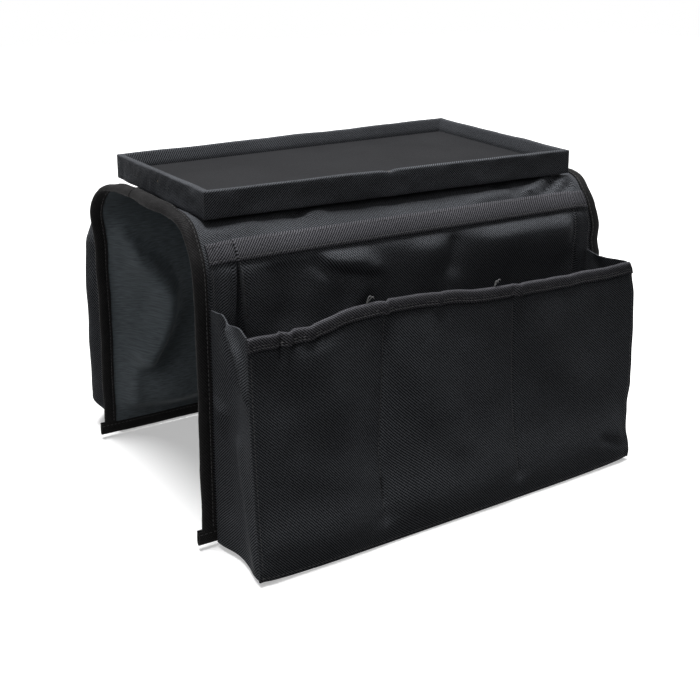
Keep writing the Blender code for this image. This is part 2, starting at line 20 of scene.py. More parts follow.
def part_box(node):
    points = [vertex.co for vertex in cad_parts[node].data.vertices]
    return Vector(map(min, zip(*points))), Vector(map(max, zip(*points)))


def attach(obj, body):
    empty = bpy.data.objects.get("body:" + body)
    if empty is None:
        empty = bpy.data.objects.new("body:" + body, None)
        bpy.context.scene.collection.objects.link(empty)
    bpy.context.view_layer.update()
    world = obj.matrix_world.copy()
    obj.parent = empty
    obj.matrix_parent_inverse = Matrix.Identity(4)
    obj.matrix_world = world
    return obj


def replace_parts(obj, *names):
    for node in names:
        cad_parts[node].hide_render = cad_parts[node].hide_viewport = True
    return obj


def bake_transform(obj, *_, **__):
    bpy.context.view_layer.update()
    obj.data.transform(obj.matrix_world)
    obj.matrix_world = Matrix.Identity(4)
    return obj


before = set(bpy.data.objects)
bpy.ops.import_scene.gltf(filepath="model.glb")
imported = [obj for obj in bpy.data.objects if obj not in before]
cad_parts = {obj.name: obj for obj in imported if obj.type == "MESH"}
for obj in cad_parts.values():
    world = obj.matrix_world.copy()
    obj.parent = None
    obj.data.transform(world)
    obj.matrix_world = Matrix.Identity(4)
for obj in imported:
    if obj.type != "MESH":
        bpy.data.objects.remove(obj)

LOG = logging.getLogger("armrest_organizer")
UV_NAME = "cloth"

Thing, Socket = bpy.types.Object, bpy.types.NodeSocket
Colour = tuple[float, float, float]
Spot = tuple[float, float, float]
Place = tuple[float, float]
Surface = Callable[[float, float, float], Vector]
CLOTH_SLOT, LINING_SLOT, TAPE_SLOT = "outer_cloth", "lining_cloth", "edge_tape"
TRAY_SLOT, BOARD_SLOT = "tray_cloth", "stiff_board"
STRAIGHT: tuple[Place, ...] = ((0.0, 0.0), (1.0, 0.0))
GRID = 0.0026
MM = 1000


# Shapes that every piece shares


def smooth(start: float, end: float, value: float) -> float:
    """A smooth step from 0 to 1, which falls along the axis where start lies after end.

    Args:
        start: Where it is still 0.
        end: Where it is 1.
        value: The place to read.

    Returns:
        The height from 0 to 1.
    """
    share = (value - start) / (end - start)
    if share <= 0:
        return 0.0
    return 1.0 if share >= 1 else share * share * (3 - 2 * share)


def spaced(start: float, end: float, step: float) -> list[float]:
    """Places at even distances.

    Args:
        start: The first place.
        end: The last place.
        step: The most that two of them are apart.

    Returns:
        The places, with both ends.
    """
    count = max(1, math.ceil(abs(end - start) / step - 1e-6))
    return [start + (end - start) * i / count for i in range(count + 1)]


def rumple(a: float, b: float, size: float, seed: float) -> float:
    """Soft unevenness of cloth at a place.

    Args:
        a: The first place on the sheet.
        b: The second place on the sheet.
        size: How wide one swell is.
        seed: Which of the sheets this is.

    Returns:
        A height from about -1 to 1.
    """
    return noise.noise(Vector((a / size, b / size, seed * 7.31)))


def between(marks: Sequence[Place], place: float) -> float:
    """A value read from marks, with smooth steps from one to the next.

    Args:
        marks: Places in rising order, each with its value.
        place: The place to read.

    Returns:
        The value there.
    """
    value = marks[0][1]
    for (start, low), (end, high) in zip(marks, marks[1:]):
        value += (high - low) * smooth(start, end, place)
    return value


@dataclass(frozen=True)
class Hump:
    """A soft hump across one direction."""

    height: float
    width: float
    place: float = 0.0

    def at(self, value: float) -> float:
        """The hump's height at a place."""
        return self.height * math.exp(-(((value - self.place) / self.width) ** 2))


@dataclass(frozen=True)
class Fold:
    """A soft ridge along a line of places on a sheet, or a hollow where its height is below zero."""

    line: tuple[Place, ...]
    height: float
    width: float

    def lift(self, a: float, b: float) -> float:
        """How far the fold lifts the cloth.

        Args:
            a: The first place on the sheet.
            b: The second place on the sheet.

        Returns:
            The lift, in metres.
        """
        low_a, high_a, low_b, high_b = self.box
        if not (low_a < a < high_a and low_b < b < high_b):
            return 0.0
        nearest = min(self._square_to(a, b, i) for i in range(max(1, len(self.line) - 1)))
        return self.height * math.exp(-nearest / self.width**2)

    @cached_property
    def box(self) -> tuple[float, float, float, float]:
        """Where the fold can be felt: its least and most first place, then second place."""
        reach = 2.6 * self.width
        along, down = [p[0] for p in self.line], [p[1] for p in self.line]
        return min(along) - reach, max(along) + reach, min(down) - reach, max(down) + reach

    def _square_to(self, a: float, b: float, index: int) -> float:
        """The squared distance to one stretch of the line."""
        (x0, y0), (x1, y1) = self.line[index], self.line[min(index + 1, len(self.line) - 1)]
        along, across = x1 - x0, y1 - y0
        whole = along * along + across * across
        share = ((a - x0) * along + (b - y0) * across) / whole if whole else 0.0
        share = min(1.0, max(0.0, share))
        return (a - x0 - along * share) ** 2 + (b - y0 - across * share) ** 2


def fold(height: float, width: float, *line: Place) -> Fold:
    """A fold whose height, width and places are given in millimetres."""
    return Fold(in_mm(*line), height / MM, width / MM)


def in_mm(*places: Place) -> tuple[Place, ...]:
    """Pairs of lengths that are given in millimetres."""
    return tuple((first / MM, second / MM) for first, second in places)


@dataclass(frozen=True)
class Relief:
    """All the folds and the unevenness of one sheet."""

    folds: tuple[Fold, ...] = ()
    swells: tuple[tuple[float, float], ...] = ((0.045, 0.0005), (0.014, 0.0002))
    seed: float = 1.0

    def lift(self, a: float, b: float) -> float:
        """The lift of the whole relief at a place."""
        lifted = sum(fold.lift(a, b) for fold in self.folds)
        return lifted + sum(
            most * rumple(a, b, size, self.seed + i) for i, (size, most) in enumerate(self.swells)
        )


# Finishes


class Slant(Enum):
    """Which way a cloth's ribs run on its right side, in degrees."""

    RISING = 45.0
    FALLING = -45.0
    STEEP = 38.0
    STRAIGHT = 0.0


class Nodes:
    """A node tree with short ways to add nodes to it."""

    def __init__(self, tree: bpy.types.NodeTree) -> None:
        """Keeps the tree."""
        self.tree = tree

    def node(self, kind: str, inputs: Optional[dict] = None, **settings) -> bpy.types.Node:
        """Adds a node.

        Args:
            kind: The node's type, without its ShaderNode prefix.
            inputs: A value, or a socket to link, for each of its sockets by name or number.
            settings: Its own properties.

        Returns:
            The new node.
        """
        made = self.tree.nodes.new(f"ShaderNode{kind}")
        for key, value in settings.items():
            setattr(made, key, value)
        for key, value in (inputs or {}).items():
            if isinstance(value, Socket):
                self.tree.links.new(value, made.inputs[key])
            else:
                made.inputs[key].default_value = value
        return made

    def seen(self) -> Socket:
        """A factor of 1 for rays from the camera, off gloss and through glass."""
        path = self.node("LightPath")
        total = path.outputs["Is Camera Ray"]
        for name in ("Is Glossy Ray", "Is Transmission Ray"):
            inputs = {0: total, 1: path.outputs[name]}
            total = self.node("Math", inputs, operation="ADD", use_clamp=True).outputs[0]
        return total

    def finish(self, kind: str, lighting: bpy.types.Node, shown: bpy.types.Node) -> None:
        """Ends the tree with one shader for what lights the object and one for what is seen."""
        mixed = {0: self.seen(), 1: lighting.outputs[0], 2: shown.outputs[0]}
        self.node(kind, {"Surface": self.node("MixShader", mixed).outputs[0]})


@dataclass(frozen=True)
class Finish:
    """A finished material, and the name of a slot that is kept with it."""

    material: bpy.types.Material
    slot: str


class Bench(Nodes):
    """A new material with short ways to build the look of cloth."""

    def __init__(self, name: str) -> None:
        """Starts a material of this name."""
        self.material = bpy.data.materials.new(name)
        self.material.use_nodes = True
        super().__init__(self.material.node_tree)
        self.shader = self.tree.nodes["Principled BSDF"]

    def cloth_place(self, scale: Sequence[float], slant: Slant = Slant.STRAIGHT) -> Socket:
        """The place on the cloth's own map.

        Args:
            scale: How many repeats fit in a metre, along the map's axes.
            slant: How far the pattern is turned.

        Returns:
            The socket that gives it.
        """
        place = self.node("UVMap", uv_map=UV_NAME).outputs["UV"]
        turn = {"Vector": place, "Rotation": (0, 0, math.radians(slant.value))}
        turned = self.node("Mapping", turn).outputs["Vector"]
        return self.node("Mapping", {"Vector": turned, "Scale": (*scale, 1)}).outputs["Vector"]

    def object_place(self) -> Socket:
        """The place in the room, in metres."""
        return self.node("TexCoord").outputs["Object"]

    def bands(self, place: Socket, axis: str, unevenness: float) -> Socket:
        """Soft bands across an axis that repeat once in each unit of place, as a height from 0 to 1."""
        one_a_unit = math.pi / 10
        inputs = {"Vector": place, "Scale": one_a_unit, "Distortion": unevenness}
        inputs |= {"Detail": 1.0, "Detail Scale": 3.0}
        return self.node("TexWave", inputs, bands_direction=axis).outputs["Fac"]

    def clouds(self, place: Socket, size: float, detail: float) -> Socket:
        """Soft noise, with this scale and detail."""
        inputs = {"Vector": place, "Scale": size, "Detail": detail, "Roughness": 0.6}
        return self.node("TexNoise", inputs).outputs["Fac"]

    def ramp(self, source: Socket, stops: Sequence[tuple[float, Colour]]) -> Socket:
        """Colours along a height.

        Args:
            source: The height from 0 to 1.
            stops: The places of the colours and the colours.

        Returns:
            The colour socket.
        """
        made = self.node("ValToRGB", {"Fac": source})
        elements = made.color_ramp.elements
        while len(elements) < len(stops):
            elements.new(0.5)
        for element, (place, colour) in zip(elements, stops):
            element.position, element.color = place, (*colour, 1)
        return made.outputs["Color"]

    def weigh(self, parts: Iterable[tuple[Socket, float]]) -> Socket:
        """The sum of several heights, each times its weight."""
        total: object = 0.0
        for source, weight in parts:
            added = self.node("Math", {0: source, 1: weight, 2: total}, operation="MULTIPLY_ADD")
            total = added.outputs[0]
        return total

    def colour(self, shade: Socket, dye: Optional[Place] = None) -> None:
        """Colours the surface.

        Args:
            shade: The colour.
            dye: How many patches of uneven dye fit in a metre, and how far they stray from one.
        """
        if dye:
            low, high = 1 - dye[1], 1 + dye[1]
            patches = self.clouds(self.object_place(), dye[0], 3.0)
            tone = self.ramp(patches, [(0.3, (low,) * 3), (0.7, (high,) * 3)])
            made = self.node("Mix", {"Factor": 1.0}, data_type="RGBA", blend_type="MULTIPLY")
            first, second = [s for s in made.inputs if s.type == "RGBA"]
            self.tree.links.new(shade, first)
            self.tree.links.new(tone, second)
            shade = next(s for s in made.outputs if s.type == "RGBA")
        self.tree.links.new(shade, self.shader.inputs["Base Color"])

    def gloss(self, height: Socket, roughness: Place, shine: float) -> None:
        """Gives the surface a roughness that follows a height, and its shine."""
        low, high = roughness
        spread = self.node("MapRange", {"Value": height, "To Min": low, "To Max": high})
        self.tree.links.new(spread.outputs["Result"], self.shader.inputs["Roughness"])
        self.shader.inputs["Specular IOR Level"].default_value = shine

    def relief(self, height: Socket, depth: float, strength: float) -> None:
        """Bumps the surface by a height, to a depth in metres."""
        bump = self.node("Bump", {"Height": height, "Strength": strength, "Distance": depth})
        self.tree.links.new(bump.outputs["Normal"], self.shader.inputs["Normal"])


@dataclass(frozen=True)
class Weave:
    """A coarse cloth of ribs and cross ribs with specks. Unless told otherwise it is black twill."""

    name: str
    slot: str = CLOTH_SLOT
    slant: Slant = Slant.RISING
    # The weave's ribs and grooves are its own pattern, but the ribs' light colour, which the specks also
    # reach, is painted glint, and the grooves' dark colour is painted shade in the weave's hollows.
    groove: Colour = (0.0018, 0.0019, 0.0022)
    rib_with_glint: Colour = (0.125, 0.131, 0.144)
    middle: Place = (2.0, 0.8)
    stops: tuple[float, float, float] = (0.32, 0.6, 0.92)
    pitch: Place = (0.00138, 0.0013)
    wander: Place = (0.9, 1.4)
    specks: float = 1.3
    weights: tuple[float, float, float] = (0.5, 0.18, 0.6)
    dye: Place = (14.0, 0.16)
    roughness: Place = (0.8, 0.6)
    shine: float = 0.02
    bump: Place = (0.0004, 0.25)

    def make(self) -> Finish:
        """The finish of this cloth."""
        bench = Bench(self.name)
        place = bench.cloth_place([1 / pitch for pitch in self.pitch], self.slant)
        parts = [bench.bands(place, axis, wander) for axis, wander in zip("XY", self.wander)]
        parts.append(bench.clouds(place, self.specks, 2.0))
        height = bench.weigh(zip(parts, self.weights))
        dark, light = self.middle
        middle = tuple((dark * g + light * r) / 3 for g, r in zip(self.groove, self.rib_with_glint))
        shade = bench.ramp(height, list(zip(self.stops, (self.groove, middle, self.rib_with_glint))))
        bench.colour(shade, self.dye)
        bench.gloss(height, self.roughness, self.shine)
        bench.relief(height, *self.bump)
        return Finish(bench.material, self.slot)


@dataclass(frozen=True)
class Taffeta:
    """Thin, slightly glossy lining cloth with a fine plain weave."""

    name: str
    slot: str
    # The lining's light grey is partly its own coating and partly painted sheen, and its lighter streaks
    # are painted sheen as well.
    dark: Colour = (0.09, 0.105, 0.115)
    light: Colour = (0.18, 0.206, 0.225)
    pitch: float = 0.0005

    def make(self) -> Finish:
        """The finish of this cloth."""
        bench = Bench(self.name)
        place = bench.cloth_place((1 / self.pitch, 1 / self.pitch))
        weave = bench.weigh((bench.bands(place, axis, 0.5), 0.5) for axis in "XY")
        sheen_streaks = bench.clouds(bench.cloth_place((140, 900)), 1.0, 3.0)
        crinkle = bench.clouds(bench.cloth_place((110, 130)), 1.0, 4.0)
        bench.colour(bench.ramp(sheen_streaks, [(0.3, self.dark), (0.7, self.light)]), (20.0, 0.1))
        bench.gloss(sheen_streaks, (0.5, 0.36), 0.06)
        bench.relief(bench.weigh([(weave, 0.12), (sheen_streaks, 0.25), (crinkle, 1.0)]), 0.0009, 0.5)
        return Finish(bench.material, self.slot)


@dataclass(frozen=True)
class Fibres:
    """Fine fibres of one kind, such as sewing thread or pressed board."""

    name: str
    slot: str
    dark: Colour
    light: Colour
    scale: float = 2600.0
    detail: float = 2.0
    roughness: float = 0.5
    bump: Place = (0.0001, 0.6)

    def make(self) -> Finish:
        """The finish of these fibres."""
        bench = Bench(self.name)
        strands = bench.clouds(bench.object_place(), self.scale, self.detail)
        bench.colour(bench.ramp(strands, [(0.3, self.dark), (0.7, self.light)]))
        bench.shader.inputs["Roughness"].default_value = self.roughness
        bench.relief(strands, *self.bump)
        return Finish(bench.material, self.slot)


class Finishes:
    """The finishes by the words that the pieces name them with."""

    def __init__(self) -> None:
        """Makes each finish once."""
        self.twill_falling = Weave("twill_ribs_falling", slant=Slant.FALLING).make()
        self.twill_rising = Weave("twill_ribs_rising").make()
        self.tray_wrap = Finish(self.twill_rising.material, TRAY_SLOT)
        # The pocket walls wear the outer twill with darker ribs: painted shade on the upright walls.
        self.wall = Weave("shaded_wall_twill", rib_with_glint=(0.09, 0.095, 0.105)).make()
        self.lining = Taffeta("lining_taffeta", LINING_SLOT).make()
        self.band = Weave(
            "hem_twill",
            TAPE_SLOT,
            groove=(0.002, 0.002, 0.0023),
            rib_with_glint=(0.122, 0.121, 0.134),
            pitch=(0.0014, 0.0013),
            roughness=(0.85, 0.7),
        ).make()
        self.webbing = Weave(
            "binding_webbing",
            TAPE_SLOT,
            Slant.STEEP,
            groove=(0.0012, 0.0012, 0.0013),
            rib_with_glint=(0.021, 0.02, 0.0205),
            middle=(2.4, 0.6),
            stops=(0.25, 0.55, 0.9),
            pitch=(0.0014, 0.0014),
            wander=(1.6, 1.6),
            specks=0.6,
            weights=(0.45, 0.2, 0.45),
            dye=(90.0, 0.3),
            roughness=(0.82, 0.62),
            shine=0.08,
            bump=(0.00035, 0.3),
        ).make()
        canvas = Weave(
            "tray_floor_canvas",
            TRAY_SLOT,
            Slant.STRAIGHT,
            groove=(0.0105, 0.0105, 0.0115),
            rib_with_glint=(0.031, 0.0315, 0.0335),
            middle=(1.5, 1.5),
            stops=(0.25, 0.55, 0.85),
            pitch=(0.0011, 0.0011),
            wander=(1.2, 1.2),
            specks=1.1,
            weights=(0.35, 0.35, 0.4),
            dye=(16.0, 0.1),
            roughness=(0.78, 0.64),
            shine=0.015,
            bump=(0.0003, 0.25),
        )
        self.tray_floor = canvas.make()
        under = {"groove": (0.006, 0.006, 0.007), "rib_with_glint": (0.014, 0.014, 0.016)}
        self.underside = replace(canvas, name="underside_canvas", **under).make()
        thread = Fibres("sewing_thread", TAPE_SLOT, (0.008, 0.008, 0.009), (0.028, 0.027, 0.028))
        self.yarn = thread.make()
        # The loose ends are the sewing thread made paler: painted highlight on the curls.
        pale = {"dark": (0.07, 0.07, 0.07), "light": (0.16, 0.16, 0.16)}
        self.loose_yarn = replace(thread, name="loose_thread", **pale).make()
        brown, straw = (0.12, 0.085, 0.05), (0.26, 0.19, 0.12)
        board = Fibres("tray_fibreboard", BOARD_SLOT, brown, straw, 700.0, 6.0, 0.92, (0.0003, 0.4))
        self.board = board.make()


# Making pieces


Pair = Callable[[object, object], tuple[Vector, Vector]]
MapPlace = Callable[[object, object], Place]


class Workroom:
    """Makes objects out of finished meshes, and keeps the finishes and the collection that the pieces go
    in.
    """

    def __init__(self) -> None:
        """Makes the collection that the pieces go in."""
        self.finishes = Finishes()
        self.pieces = bpy.data.collections.new("organizer_dressing")
        bpy.context.scene.collection.children.link(self.pieces)

    def piece(self, name: str, bm: bmesh.types.BMesh, finish: Finish) -> Thing:
        """Makes an object of a finished bmesh.

        Args:
            name: The object's name.
            bm: The mesh, which is used up.
            finish: Its material and slot.

        Returns:
            The object, at the origin.
        """
        for face in bm.faces:
            face.smooth = True
        for edge in bm.edges:
            edge.smooth = len(edge.link_faces) != 2 or edge.calc_face_angle(0.0) < math.radians(55)
        mesh = bpy.data.meshes.new(name)
        bm.to_mesh(mesh)
        bm.free()
        mesh.materials.append(finish.material)
        made = bpy.data.objects.new(name, mesh)
        self.pieces.objects.link(made)
        LOG.info("%s: %d faces", name, len(mesh.polygons))
        return made

    def slab(
        self,
        name: str,
        columns: Sequence,
        rows: Sequence,
        pair: Pair,
        uv: MapPlace,
        finish: Finish,
        closed: bool = False,
    ) -> Thing:
        """A closed sheet on a grid, with its two faces placed by a function.

        Args:
            name: The object's name.
            columns: The values that pair takes first.
            rows: The values that pair takes second.
            pair: Gives the outer and the inner place for a column and a row.
            uv: Gives the place on the cloth's own map.
            finish: Its material and slot.
            closed: Whether the last column lies on the first.

        Returns:
            The object.
        """
        bm = bmesh.new()
        last_column, last_row = len(columns) - 1, len(rows) - 1
        bmesh.ops.create_grid(bm, x_segments=last_column, y_segments=last_row, size=1)
        raised = set(bmesh.ops.extrude_face_region(bm, geom=bm.faces[:])["geom"])
        known: dict[tuple[int, int], tuple[tuple[Vector, Vector], Place]] = {}
        keys: dict[bmesh.types.BMVert, tuple[int, int]] = {}
        for vert in bm.verts:
            key = (round((vert.co.x + 1) / 2 * last_column), round((vert.co.y + 1) / 2 * last_row))
            if key not in known:
                column, row = columns[key[0]], rows[key[1]]
                known[key] = (pair(column, row), uv(column, row))
            keys[vert] = key
            vert.co = known[key][0][0 if vert in raised else 1]
        layer = bm.loops.layers.uv.new(UV_NAME)
        for face in bm.faces:
            for loop in face.loops:
                loop[layer].uv = known[keys[loop.vert]][1]
        if closed:
            ends = ({0}, {last_column})
            walls = [f for f in bm.faces if {keys[v][0] for v in f.verts} in ends]
            bmesh.ops.delete(bm, geom=walls, context="FACES_ONLY")
            bmesh.ops.remove_doubles(bm, verts=bm.verts[:], dist=1e-6)
        bmesh.ops.recalc_face_normals(bm, faces=bm.faces[:])
        if bm.calc_volume(signed=True) < 0:
            bmesh.ops.reverse_faces(bm, faces=bm.faces[:])
        return self.piece(name, bm, finish)

    def sheet(
        self,
        name: str,
        columns: Sequence[float],
        rows: Sequence[float],
        surface: Surface,
        thick: float,
        finish: Finish,
    ) -> Thing:
        """A sheet of one thickness on a surface.

        Args:
            name: The object's name.
            columns: Places along the surface.
            rows: Places down the surface.
            surface: Gives the place for a column, a row and a distance outwards.
            thick: How thick the cloth is, inwards from the surface.
            finish: Its material and slot.

        Returns:
            The object.
        """
        return self.slab(
            name,
            columns,
            rows,
            lambda a, b: (surface(a, b, 0.0), surface(a, b, -thick)),
            lambda a, b: (a, -b),
            finish,
        )

    def stitches(
        self, name: str, rows: Sequence[tuple[Surface, Sequence[Place], float]], pitch: float = 0.0032
    ) -> Thing:
        """Sewn lines: many small rounded stitches, end to end along each line.

        Args:
            name: The object's name.
            rows: For each line a surface, the places that it runs through, and the cloth's face as
                a distance out of the surface; a face below zero is sewn from the inner side.
            pitch: The distance from stitch to stitch.

        Returns:
            The object.
        """
        whole = bmesh.new()
        for surface, places, out in rows:
            bm = bmesh.new()
            inward = -1.0 if out < 0 else 1.0
            points = [surface(a, b, out) for a, b in places]
            above = [surface(a, b, out + 0.0005) for a, b in places]
            run = 0.0
            for start, end, over in zip(points, points[1:], above):
                normal = (over - start).normalized() * inward
                length = (end - start).length
                while run < length - pitch * 0.2:
                    middle = start.lerp(end, run / length)
                    self._stitch(bm, middle, (end - start).normalized(), normal, pitch)
                    run += pitch
                run -= length
            line = bpy.data.meshes.new("stitch_line")
            bm.to_mesh(line)
            bm.free()
            whole.from_mesh(line)
            bpy.data.meshes.remove(line)
        return self.piece(name, whole, self.finishes.yarn)

    @staticmethod
    def _stitch(
        bm: bmesh.types.BMesh, middle: Vector, along: Vector, normal: Vector, pitch: float
    ) -> None:
        """Adds one stitch, sunk a little into the cloth."""
        across = normal.cross(along).normalized()
        up = along.cross(across).normalized()
        turned = Matrix((along, across, up)).transposed().to_4x4()
        size = Matrix.Diagonal((pitch * 0.4, 0.00024, 0.0002, 1.0))
        place = Matrix.Translation(middle + up * 0.00004)
        bmesh.ops.create_icosphere(bm, subdivisions=1, radius=1.0, matrix=place @ turned @ size)


@dataclass(frozen=True)
class TapeFold:
    """A tape folded in half over an edge: two legs and a round fold between them."""

    open_end: float
    fold_end: float
    outside: float
    inside: float
    thick: float = 0.0008
    stitch_in: float = 0.0017
    crown: float = 0.00025
    sink: Hump = Hump(0.00022, 0.0005)

    def stations(self) -> list[tuple[Place, Place, float]]:
        """The fold's section.

        Returns:
            For each station the outer face's place across and out, the inner face's, and how far
            along the section it is.
        """
        hand = math.copysign(1.0, self.fold_end - self.open_end)
        radius = (self.outside - self.inside) / 2
        middle = (self.outside + self.inside) / 2
        leg = abs(self.fold_end - self.open_end) - radius
        shares = [0.0, 0.0006, 0.0013, 0.0017, 0.0021, 0.0028]
        shares += spaced(0.0028, leg, (leg - 0.0028) / 4)[1:]
        made: list[tuple[Place, Place, float]] = []
        for run in shares:
            across, out = self.open_end + hand * run, self.outside + self._crown(run, leg)
            made.append(((across, out), (across, out - self.thick), run))
        centre = self.open_end + hand * leg
        for i in range(1, 8):
            angle = math.pi / 2 - math.pi * i / 8
            reach = Vector((hand * math.cos(angle), math.sin(angle)))
            ring = [(centre + reach.x * r, middle + reach.y * r) for r in (radius, radius - self.thick)]
            made.append((*ring, leg + radius * math.pi * i / 8))
        for run in reversed(shares):
            across, out = self.open_end + hand * run, self.inside - self._crown(run, leg)
            made.append(((across, out), (across, out + self.thick), 2 * leg + math.pi * radius - run))
        return made

    def outwards(self, out: float) -> int:
        """Which way the tape's outer face looks: 1 on the outer leg, -1 on the inner one."""
        return 1 if out > (self.outside + self.inside) / 2 else -1

    def sewn(
        self, surface: Surface, run: Sequence[Place]
    ) -> list[tuple[Surface, Sequence[Place], float]]:
        """A line of stitches on both legs."""
        return [(surface, run, self.outside), (surface, run, self.inside)]

    def _crown(self, run: float, leg: float) -> float:
        """How far a leg swells between its stitching and its fold, and sinks under the stitches."""
        swell = self.crown * math.sin(math.pi * smooth(self.stitch_in, leg + 0.001, run))
        return swell - self.sink.at(run - self.stitch_in)


@dataclass(frozen=True)
class Flank:
    """One side of the saddle: its section, its bodies and where its flap bends."""

    name: str
    sign: int
    centre: float
    deck_half: float
    flap_lean: float = 0.0
    deck_top: float = 0.2154
    shoulder: float = 0.034
    fold_angle: float = math.radians(45)
    fold_reach: float = 0.012
    tape_outside: float = 0.0011
    cover_half: float = 0.176
    crest: Hump = Hump(1.0, 0.0085, -0.17)
    pulled_from: float = 0.12
    left_pulls: tuple[Place, ...] = STRAIGHT
    right_pulls: tuple[Place, ...] = STRAIGHT
    curls: tuple[Place, ...] = STRAIGHT

    @property
    def flap(self) -> str:
        """The flap's body."""
        return f"{self.name}_flap"

    @property
    def pocket(self) -> str:
        """The pocket's body."""
        return f"{self.name}_pocket"

    @property
    def hang_angle(self) -> float:
        """Where the shoulder ends and the flap hangs straight."""
        return math.radians(90) - self.flap_lean

    @property
    def drop_start(self) -> float:
        """How far down the flap hangs straight."""
        return self.deck_half + self.shoulder * self.hang_angle

    def at_angle(self, angle: float) -> float:
        """The distance down at an angle on the shoulder."""
        return self.deck_half + self.shoulder * angle

    def at_height(self, height: float) -> float:
        """The distance down at a height of the straight flap."""
        start = self.deck_top - self.shoulder + self.shoulder * math.cos(self.hang_angle)
        return self.drop_start + (start - height) / math.cos(self.flap_lean)

    def place(self, x: float, down: float, out: float) -> Vector:
        """A point of the cover, whose ends are drawn in and whose left end rises to the tray.

        Args:
            x: The place along the arm.
            down: The distance down from the tray's centre line.
            out: How far outside the outer cloth's face.

        Returns:
            The point.
        """
        if abs(x) > self.pulled_from:
            near = smooth(self.pulled_from, self.cover_half, abs(x))
            if x < 0:
                out += between(self.curls, down) * self.crest.at(x)
            x += near * between(self.left_pulls if x < 0 else self.right_pulls, down)
        if down <= self.deck_half:
            return Vector((x, self.centre + self.sign * down, self.deck_top + out))
        angle = min((down - self.deck_half) / self.shoulder, self.hang_angle)
        reach = self.shoulder + out
        y = self.deck_half + reach * math.sin(angle)
        z = self.deck_top - self.shoulder + reach * math.cos(angle)
        left = max(0.0, down - self.drop_start)
        y += left * math.sin(self.flap_lean)
        z -= left * math.cos(self.flap_lean)
        return Vector((x, self.centre + self.sign * y, z))

    def bend(self, piece: Thing) -> Thing:
        """Bakes a piece's placement into its mesh; the hinge between the deck and the flap is worked out
        but not used.
        """
        hinge = self.place(0.0, self.at_angle(self.fold_angle), self.tape_outside)
        along = Vector((0.0, self.sign * math.sin(math.pi / 4), -math.cos(math.pi / 4)))
        start, end = hinge - along * self.fold_reach, hinge + along * self.fold_reach
        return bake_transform(piece, "deck", self.flap, start=tuple(start), end=tuple(end))


def hands() -> tuple[tuple[str, int], tuple[str, int]]:
    """The two ends of the object, as a name and a sign along X."""
    return (("left", -1), ("right", 1))


